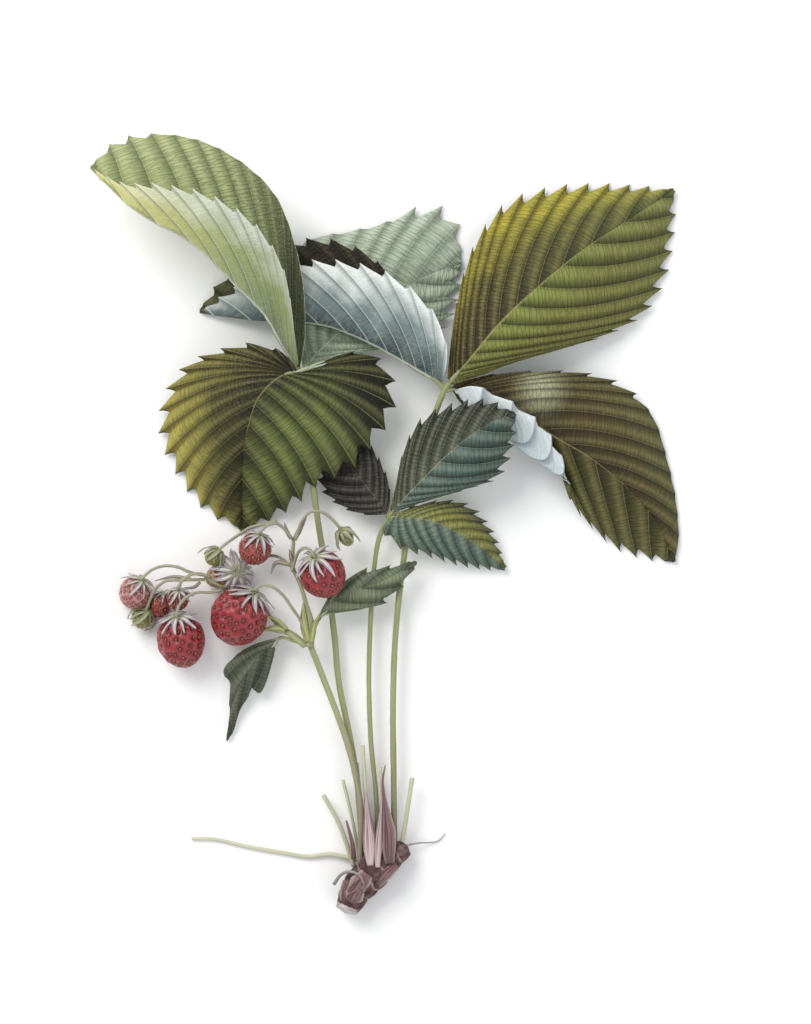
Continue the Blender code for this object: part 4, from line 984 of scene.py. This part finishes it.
RHIZOME = ([(-10.1, -99.6, 4.4), (-7.6, -94.6, 4.4), (-3.2, -90.3, 4.4), (1.5, -86.5, 4.4),
        (5.1, -84.1, 4.4)], [3.2, 3.9, 4.5, 4.5, 4, 3.2, 2.2])

# The same for the sheaths, with widths for radii.
SHEATHS = {
    "sheath_right": ([(0.9, -87.9, 9.2), (0.7, -86, 9), (0.6, -81, 7.9), (0, -75.5, 7.3), (-0.8, -70, 7.2),
        (-1, -66.3, 7.2), (-0.3, -62.5, 7.2)], [2.2, 3.6, 3.7, 2.3, 1.2, 0.6, 0.2]),
    "sheath_left": ([(-4.2, -88.4, 9.4), (-4.3, -86.4, 9.2), (-4.45, -83, 8.7), (-4.75, -78, 8.1),
        (-5.1, -73.6, 7.6), (-5.4, -69.3, 7.2)], [1.5, 3, 3.2, 2.2, 1.2, 0.2]),
    "sheath_outer": ([(-8.6, -87, 5.2), (-8.9, -83.4, 5.1), (-9.8, -79.6, 4.9), (-10.5, -77, 4.8)],
        [1.4, 1.3, 0.8, 0.4]),
}

# Centre, direction of the stalk end, half length, half width, taper.
BERRIES = {
    "berry_1": ((-38.4, -23.9, 7.75), (4.0, 6.2, 3.2), 7.6, 7.7, 0.06),
    "berry_2": ((-53.4, -30.3, 6.9), (-0.8, 6.0, 3.6), 7.3, 6.8, 0.16),
    "berry_3": ((-16.4, -12.9, 12.3), (-2.0, 4.2, 4.25), 6.5, 6.3, 0.10),
    "berry_4": ((-34.2, -6.3, 8.8), (1.1, 3.2, 2.2), 4.2, 4.5, 0.10),
    "berry_5": ((-65.6, -17.7, 4.5), (1.7, 2.7, 2.2), 4.3, 4.3, 0.06),
    "berry_6": ((-54.2, -19.4, 8.0), (0.2, 2.0, 2.2), 3.2, 3.0, 0.10),
    "berry_7": ((-43.3, -13.0, 3.5), (0.84, 0.46, 0.2), 4.2, 3.2, 0.08),
    "berry_8": ((-59.0, -21.0, 3.5), (0.4, 2.2, 1.0), 3.4, 2.8, 0.06),
}

# Unripe heads closed in their sepals: the same measures.
HEAD_TAPER = 0.1
BUDS = {
    "bud_left": ((-63.9, -24.4, 3.1), (1.6, 1.8, 1.4), 2.6, 2.9, HEAD_TAPER),
    "bud_centre": ((-45.1, -8.4, 7.6), (1.6, 2.2, 0.6), 2.1, 2.2, HEAD_TAPER),
    "bud_right": ((-10.5, -3.3, 8.0), (-1.8, 2.6, 1.6), 2.4, 1.9, HEAD_TAPER),
}


# Colours of each leaflet. Upper side: left half and right half from midrib to rim, then what
# washes over the base and the tip; the yellow rims on edges facing the upper left are partly the
# leaf's own tint and partly painted light from that side. Underside: midrib, middle, rim, what
# washes over the tip, painted shade beside the veins, ribs; the pale rims are a painted highlight.
UPPER = {
    "leaflet_left_top": (("#6f7d4e", "#8f9d6c", "#a3b07e"), ("#7c8456", "#98a06e", "#a6ac7c"),
                         ("#37332a", 0.95, 0.26, 0.58), ("#a9b07c", 0.4)),
    "leaflet_left_bottom": (("#434a2a", "#798744", "#566034"), ("#332f1e", "#5f5a2e", "#cbbf58"),
                            ("#221d13", 1.0, 0.05, 0.72), ("#403e24", 0.6)),
    "leaflet_left_behind": (("#8e9c84", "#a9b8a0", "#b4c0aa"), ("#8e9c84", "#a3b298", "#a9b8a0"),
                            ("#7f8d74", 0.6), ("#b4c0aa", 0.2)),
    "leaflet_right_top": (("#3a3020", "#625c2b", "#b8ab38"), ("#7f8a42", "#74743a", "#75753e"),
                          ("#3c3218", 0.6), ("#7b8452", 0.5)),
    "leaflet_right_bottom": (("#3c331c", "#584c2a", "#64623a"), ("#474420", "#56562c", "#626238"),
                             ("#41351c", 0.5), ("#54502c", 0.5)),
    "leaflet_right_folded": (("#3f352a", "#3a3026", "#3a3026"), ("#3f352a", "#352b22", "#2a2418"),
                             ("#4a3f30", 0.3), ("#6c7048", 0.8)),
    "leaflet_middle_top": (("#5f6350", "#414436", "#33362c"), ("#64766e", "#4c665f", "#46564c"),
                           ("#5a5c48", 0.3), ("#3f443a", 0.3)),
    "leaflet_middle_right": (("#8c8c50", "#83823a", "#4a4a30"), ("#6c7c70", "#587670", "#4c625a"),
                             ("#6f7a60", 0.4), ("#50584a", 0.3)),
    "leaflet_middle_left": (("#3a3430", "#2b2524", "#201c1d"), ("#423f38", "#322f2b", "#282523"),
                            ("#4c4942", 0.4), ("#201c1d", 0.3)),
    "bract_leaf_right": (("#7b8468", "#6c7660", "#5a6450"), ("#8b9478", "#7d8768", "#5a6450"),
                         ("#8b9478", 0.4), ("#5a6450", 0.3)),
    "bract_leaf_left": (("#6a6e5c", "#4a4e42", "#43463c"), ("#7c8070", "#6c7260", "#5a5f50"),
                        ("#8b8d74", 0.5), ("#4a4e42", 0.4)),
}
UNDER = {
    "leaflet_left_top": ("#83906e", "#94a167", "#cfd6c4", ("#d8cf80", 0.7), "#5c6a4a", "#dfe2cf"),
    "leaflet_right_bottom": ("#b3c1c3", "#aebcc0", "#dfe5e6", ("#c9cfc0", 0.3), "#5c6c74", "#808e8e"),
    "leaflet_right_folded": ("#3c484a", "#7a8c8a", "#ebefec", ("#6c7c80", 0.5), "#3f4f57", "#dfe2cf"),
}
PALE_UNDER = ("#9aa88a", "#a9b698", "#c9d0ba", ("#a9b698", 0.2), "#4c5644", "#dfe2cf")
# pale colour of the veins on the upper side, also laid as a painted highlight along the crest of each strip
VEIN_AND_CREST_LIGHT_TONES = {
    "leaflet_left_behind": "#ccd3bc", "leaflet_left_top": "#c6cc98", "leaflet_middle_top": "#a8aa90",
    "leaflet_middle_right": "#b4b080", "leaflet_middle_left": "#837c72", "leaflet_right_folded": "#756a58",
    "leaflet_left_bottom": "#a3a070", "leaflet_right_bottom": "#a09468", "leaflet_right_top": "#a8a064",
    "bract_leaf_right": "#98a084", "bract_leaf_left": "#858b76",
}
# painted shade laid in the hollows beside the veins of the upper side; other leaflets take a near-black
# default
PAINTED_SHADES = {"leaflet_left_behind": "#5f6d58", "leaflet_left_top": "#5f6c49", "leaflet_middle_top": "#23281f",
          "leaflet_middle_right": "#2c3324", "bract_leaf_right": "#2f3429", "bract_leaf_left": "#363b30"}
# round patches of painted light on the upper side, as x, y, radius, colour and strength: a painted highlight
# on leaflet_right_bottom, painted shade on leaflet_left_bottom
PAINTED_LIGHT_PATCHES = {"leaflet_right_bottom": (40.0, 35.5, 9.5, "#c3c8a2", 0.72),
           "leaflet_left_bottom": (-4.0, 34.0, 17.0, "#1a1610", 0.8)}

STALK_SKIN = stem_skin("leaf stalk skin", "#9b9f73", "#7a6260", "#687145", -88, -45)
FLOWER_STALK_SKIN = stem_skin("flower stalk skin", "#a3a67c", "#7a6060", "#6f6a50", -88, -45)
FINE_STALK_SKIN = stem_skin("berry stalk skin", "#a5a48a", "#8a6a70", "#7d6a6c", -60, -20)
OLD_STALK_SKIN = stem_skin("old stalk skin", "#c6c8ac", "#b09c90", "#9ea27c", -90, -70)
RUNNER_SKIN = stem_skin("runner skin", "#cfcdb4", "#b0a890", "#adab8c", -92, -84)
ROOT_SKIN = stem_skin("root skin", "#a8a2a6", "#8d8084", "#6f6468", -95, -80)
FUZZ = papery("stalk down", "#cfcfb4", "#b9b99a", ("#cfcfb4", 0.0), 1.0)
BERRY_SKIN = berry_skin("strawberry skin", "#a83f40", "#8c2530", "#560f1a", ("#c47a70", 0.3))
SMALL_BERRY_SKIN = berry_skin("small strawberry skin", "#a85a50", "#8c3034", "#561a20", ("#c9a08a", 0.4))
GREEN_SKIN = berry_skin("unripe strawberry skin", "#cf9c9a", "#ab6668", "#6f343c", ("#c9b8a4", 0.6))
TAN_SKIN = berry_skin("shrivelled berry skin", "#c9a888", "#a67f64", "#6d4a3c", ("#a9a27c", 0.5))
BUD_SKIN = berry_skin("green berry head skin", "#a9ad74", "#8d9458", "#5c5a38", ("#a9ad74", 0.3))
SEED_COAT = seed_coat("strawberry seed coat", "#c49a62", "#8d5a3e")
DARK_SEED_COAT = seed_coat("ripe seed coat", "#bd7c50", "#7a3a2c")
SEPAL = papery("sepal tissue", "#d6d2cb", "#6a5672", ("#9aa56a", 0.6), 2.2, "#8a7c8c")
GREEN_SEPAL = papery("green sepal tissue", "#b4b894", "#6b6a5c", ("#8d9658", 0.6), 2.6, "#7c7f62")
PURPLE_BRACT = papery("purple bract tissue", "#a49a8c", "#5f4c5e", ("#9aa064", 0.6), 2.4, "#75697a")
GREEN_BRACT = papery("green bract tissue", "#adae74", "#6f6a4c", ("#9aa064", 0.5), 2.4, "#7d7f58")
PINK_SHEATH = papery("sheath tissue", "#cdb3b3", "#4c3038", ("#d8c4c0", 0.5), 6.0, "#6d4f58")
BROWN_SHEATH = papery("brown sheath tissue", "#8a6868", "#38262a", ("#5a4040", 0.6), 5.0, "#c4b0ac")
BARK = bark("rhizome bark", "#6a4c4c", "#3c2828", "#a48c86")
TORN_SCALE = papery("torn scale tissue", "#57383a", "#3a2426", ("#4a3032", 0.4), 2.0)
PITH = bark("rhizome pith", "#c9c4bf", "#a39c98", "#dcd8d4")


# ---------------------------------------------------------------- leaves
for name, shape in LEAFLETS.items():
    shape.setdefault("tooth", TOOTH_DEPTH)
    pitch = LARGE_PITCH if shape["teeth"] > 10 else SMALL_PITCH
    upper = leaf_upper(name + " upper side", *UPPER[name], pitch, vein=VEIN_AND_CREST_LIGHT_TONES.get(name, "#a9ab7c"),
                       painted_shade=PAINTED_SHADES.get(name, "#14170f"), painted_light_patch=PAINTED_LIGHT_PATCHES.get(name))
    under = leaf_under(name + " underside", *UNDER.get(name, PALE_UNDER), pitch)
    leaflet(name, shape, upper, under)

# short stalks that carry each leaflet from the end of its leaf stalk
CARRIERS = {"left": ((-22.0, 38.8, 12.8), 0.75), "right": ((15.0, 35.0, 11.6), 0.75),
            "middle": ((0.5, 1.4, 7.1), 0.55)}
for leaf, (tip, stout) in CARRIERS.items():
    for name in [n for n in LEAFLETS if n.startswith(f"leaflet_{leaf}_")]:
        midrib = smooth_path(LEAFLETS[name]["midrib"], 100)
        points = [tip] + [midrib[at] - (0, 0, sunk) for at, sunk in ((0, 0.2), (9, 0.6), (22, 0.8))]
        stem(name + "_stalk", points, [stout * share for share in (1, 0.75, 0.5, 0.2)], STALK_SKIN,
             nodes=(), joins=(0.2, 0.2))

# the bract leaves stand on short stalks of their own, from the fork of the flower stalk
stem("bract_leaf_left_stalk", [(-21.2, -31.0, 7.6), (-24.2, -30.2, 6.9), (-27.2, -29.3, 6.2),
                               (-29.8, -31.0, 5.3), (-32.0, -33.2, 4.8)],
     [0.5, 0.42, 0.42, 0.3, 0.1], STALK_SKIN, nodes=())
stem("bract_leaf_right_stalk", [(-19.8, -30.6, 8.3), (-19.0, -27.8, 8.7), (-17.9, -25, 8.6),
                                (-15.8, -21.3, 7.9), (-12.6, -19.2, 7.9)],
     [0.5, 0.42, 0.42, 0.35, 0.1], STALK_SKIN, nodes=())

# ---------------------------------------------------------------- stalks
# How each name begins, the skin, and the hairs on a square millimetre.
KINDS = (("old_stalk", OLD_STALK_SKIN, 0), ("petiole", STALK_SKIN, 0.7), ("peduncle", FLOWER_STALK_SKIN, 0.9),
         ("side_branch", FLOWER_STALK_SKIN, 0.9), ("pedicel", FINE_STALK_SKIN, 1.1), ("root", ROOT_SKIN, 0),
         ("runner", RUNNER_SKIN, 0))
for name, (points, radii) in STEMS.items():
    skin, down = next(rest for start, *rest in KINDS if name.startswith(start))
    from_crown = points[0][1] < CROWN_EDGE and name != "root_stub"
    joins = ROOT_JOIN if from_crown else JOIN, 0.0 if name.startswith("old_stalk") else JOIN
    if name == "runner":
        joins = 0.0, ROOT_JOIN
    stem(name, points, radii, skin, joins=joins, down=down)

# ---------------------------------------------------------------- root end
rhizome("rhizome", *RHIZOME, BARK)
stem("cut_face", [(-10.0, -99.4, 4.6), (-10.45, -100.5, 4.9)], [3.1, 3.15, 2.9], PITH, "rhizome",
     nodes=(), joins=(0.0, 0.0))
for name, (points, widths) in SHEATHS.items():
    tissue = PINK_SHEATH if name == "sheath_left" else BROWN_SHEATH
    strip_blade(name, points, widths, tissue, "sheath", [name], cup=0.2)
SCALES = {
    # path, widths, tissue, how deeply cupped
    "sheath_pink": ([(-2.3, -88.9, 9.2), (-2.3, -86.4, 8.9), (-2.1, -82, 8.2), (-1.7, -77, 7.7),
                     (-1.3, -72, 7.4)], [1.1, 2.0, 1.7, 0.9, 0.2], PINK_SHEATH, 0.3),
    "sheath_torn": ([(-4.4, -91.2, 9.0), (-4.3, -89, 9.2), (-4.3, -86.8, 8.6), (-4.4, -84.8, 7.8)],
                    [3.6, 5.4, 4.6, 2.0], TORN_SCALE, 0.18),
    "scale_cup": ([(-9.4, -95.9, 8.3), (-7.0, -93.2, 9.2), (-5.0, -90.6, 9.3)], [3.0, 5.4, 3.4],
                  BROWN_SHEATH, 0.22),
    "scale_end": ([(-9.4, -98.0, 8.0), (-8.4, -96.4, 8.7), (-6.9, -94.8, 9.0)], [4.2, 5.2, 3.0],
                  BROWN_SHEATH, 0.25),
    "scale_side": ([(-10.9, -98.6, 6.6), (-11.0, -95.5, 7.4), (-10.6, -92.4, 7.9)], [1.8, 2.4, 1.4],
                   BROWN_SHEATH, 0.2),
    "scale_right": ([(-2.8, -93.2, 8.0), (-0.2, -90.4, 8.5), (2.6, -88.2, 8.0)], [3.0, 4.0, 2.6],
                    BROWN_SHEATH, 0.3),
}
for name, (points, widths, tissue, cup) in SCALES.items():
    strip_blade(name, points, widths, tissue, "sheath", cup=cup, thickness=0.25, columns=15)

# ---------------------------------------------------------------- berries
LARGE = {"depth": 0.45, "pitch": SEED_PITCH, "seed_size": (0.78, 0.5, 0.42), "rings": 120, "sides": 170}
SMALL = {"depth": 0.28, "pitch": 1.75, "seed_size": (0.7, 0.45, 0.4), "rings": 80, "sides": 110}
HEAD = {"depth": 0.15, "pitch": 1.1, "seed_size": (0.5, 0.34, 0.28), "rings": 50, "sides": 70}
UNRIPE = {"berry_5": GREEN_SKIN, "berry_7": TAN_SKIN}
for name, (centre, axis, *size) in BERRIES.items():
    slot = "unripe_berry" if name in UNRIPE else "ripe_berry"
    if name in ("berry_1", "berry_2", "berry_3"):
        berry(name, centre, axis, size, BERRY_SKIN, DARK_SEED_COAT, slot, **LARGE)
    else:
        berry(name, centre, axis, size, UNRIPE.get(name, SMALL_BERRY_SKIN), SEED_COAT, slot, **SMALL)
RINGS = {
    # berry, sepals, spread angle, widest sepal, how far the tips lift
    "calyx_1": ("berry_1", 11, 52, 1.9, (0.1, 1.5)),
    "calyx_2": ("berry_2", 11, 52, 1.7, (0.1, 1.4)),
    "calyx_3": ("berry_3", 11, 60, 1.7, (0.1, 1.5)),
    "calyx_4": ("berry_4", 10, 66, 1.2, (0.1, 1.0)),
    "calyx_5": ("berry_5", 9, 72, 1.2, (0.1, 0.8)),
    "calyx_6": ("berry_6", 9, 68, 0.9, (0.1, 0.8)),
    "calyx_8": ("berry_8", 8, 62, 0.8, (0.0, 0.5)),
}
for name, (on, sepals, spread, widest, curl) in RINGS.items():
    centre, axis, *size = BERRIES[on]
    calyx(name, centre, axis, size, sepals, spread, SEPAL, [] if name == "calyx_8" else [name], widest, curl,
          seed=len(name) + sepals + int(spread))
calyx("calyx_7", (-40.4, -12.4, 3.9), (0.32, 0.1, 0.9), (3.4, 5.0, 0.0), 17, 86, SEPAL, ["calyx_7"], 1.9,
      (0.2, 1.0), seed=5)
stem("pedicel_11", [(-57.4, -17.4, 6.6), (-58.2, -18.3, 5.6), (-58.6, -18.9, 4.6)], [0.35], FINE_STALK_SKIN,
     nodes=())
for name, (centre, axis, *size) in BUDS.items():
    berry(name, centre, axis, size, BUD_SKIN, SEED_COAT, "unripe_berry", **HEAD)
    calyx(name + "_sepals", centre, axis, size, 9, 118, GREEN_SEPAL, (), 1.3, (0.0, 1.6), seed=len(name))

# ---------------------------------------------------------------- small bracts of the flower stalk
BRACTS = {
    "bract_1": ([(-20.4, -30.2, 9.8), (-21.4, -25.5, 10.4), (-21.6, -20, 10.0)], 2.2, GREEN_BRACT),
    "bract_10": ([(-19.6, -30.4, 9.8), (-18.9, -26.5, 10.2), (-17.6, -23.4, 9.6)], 1.8, GREEN_BRACT),
    "bract_2": ([(-26.4, -27.4, 8.2), (-29.4, -26.9, 8.6), (-32.2, -27.3, 7.6)], 2.0, GREEN_BRACT),
    "bract_3": ([(-25.9, -27.0, 8.6), (-28.6, -24.6, 9.2), (-31.6, -23.4, 8.6)], 1.0, GREEN_BRACT),
    "bract_4": ([(-25.0, -10.3, 9.6), (-28.7, -9.8, 9.6), (-30.0, -12.6, 8.6)], 1.2, PURPLE_BRACT),
    "bract_5": ([(-23.9, -3.8, 10.0), (-22.2, -0.6, 10.6), (-20.7, 2.3, 10.4)], 1.3, PURPLE_BRACT),
    "bract_6": ([(-24.8, -3.6, 10.0), (-25.8, -1.6, 10.4), (-26.5, 0.7, 10.2)], 1.0, PURPLE_BRACT),
    "bract_7": ([(-24.4, -10.2, 10.2), (-24.8, -8.2, 10.9), (-25.2, -6.2, 10.8)], 1.0, PURPLE_BRACT),
    "bract_8": ([(-50.7, -14.0, 9.3), (-55, -13.4, 9.2), (-60.2, -14.5, 7.8)], 0.8, PURPLE_BRACT),
    "bract_9": ([(-48.3, -14.8, 9.0), (-50.1, -16.2, 8.8), (-52.5, -16.3, 8.4)], 0.8, PURPLE_BRACT),
}
for name, (points, width, tissue) in BRACTS.items():
    strip_blade(name, points, [width * 0.8, width, width * 0.7, 0.15], tissue, "sepal", cup=0.3,
                thickness=SEPAL_THICKNESS)

# ---------------------------------------------------------------- setting
def place_object(name, data):
    """Puts something new into the scene."""
    made = bpy.data.objects.new(name, data)
    bpy.context.scene.collection.objects.link(made)
    return made


HALF_FLOOR = 1250 * MM
floor_mesh = bpy.data.meshes.new("floor")
corners = [(x * HALF_FLOOR, y * HALF_FLOOR, 0) for x, y in ((-1, -1), (1, -1), (1, 1), (-1, 1))]
floor_mesh.from_pydata(corners, [], [(0, 1, 2, 3)])
floor = place_object("floor", floor_mesh)
# a bright, matt sheet that gives the eye soft shadows and nothing else
paper, paper_tree = new_material("white paper")
paper_shader = paper_tree.nodes["Principled BSDF"]
paper_shader.inputs["Base Color"].default_value = colour("#fdfdfc")
paper_shader.inputs["Roughness"].default_value = 0.9
paper_shader.inputs["Specular IOR Level"].default_value = 0.1
floor_mesh.materials.append(paper)


def area_light(name, place, target, size, power, tint):
    """A square soft light that faces a target; power in watts."""
    lamp = bpy.data.lights.new(name, "AREA")
    lamp.size, lamp.energy, lamp.color = size, power, colour(tint)[:3]
    holder = place_object(name, lamp)
    holder.location = place
    holder.rotation_euler = (Vector(target) - Vector(place)).to_track_quat("-Z", "Y").to_euler()


area_light("window", (-0.55, 0.65, 0.85), (0, 0, 0), 0.7, 9.5, "#fffdfa")
area_light("bounce", (0.8, -0.5, 0.7), (0, 0, 0), 1.2, 3.0, "#f8faff")
world = bpy.data.worlds.new("pale room")
bpy.context.scene.world = world
world.use_nodes = True
air = world.node_tree.nodes["Background"].inputs
air["Color"].default_value = colour("#f6f8fb")
air["Strength"].default_value = 0.7

lens = bpy.data.cameras.new("straight down")
lens.lens, lens.sensor_width, lens.sensor_fit = 150, 36, "AUTO"
lens.clip_start, lens.clip_end = 0.05, 10
camera = place_object("camera", lens)
camera.location = (4.94 * MM, 3.38 * MM, 1117 * MM)
bpy.context.scene.camera = camera
bpy.context.scene.view_settings.view_transform = "Standard"
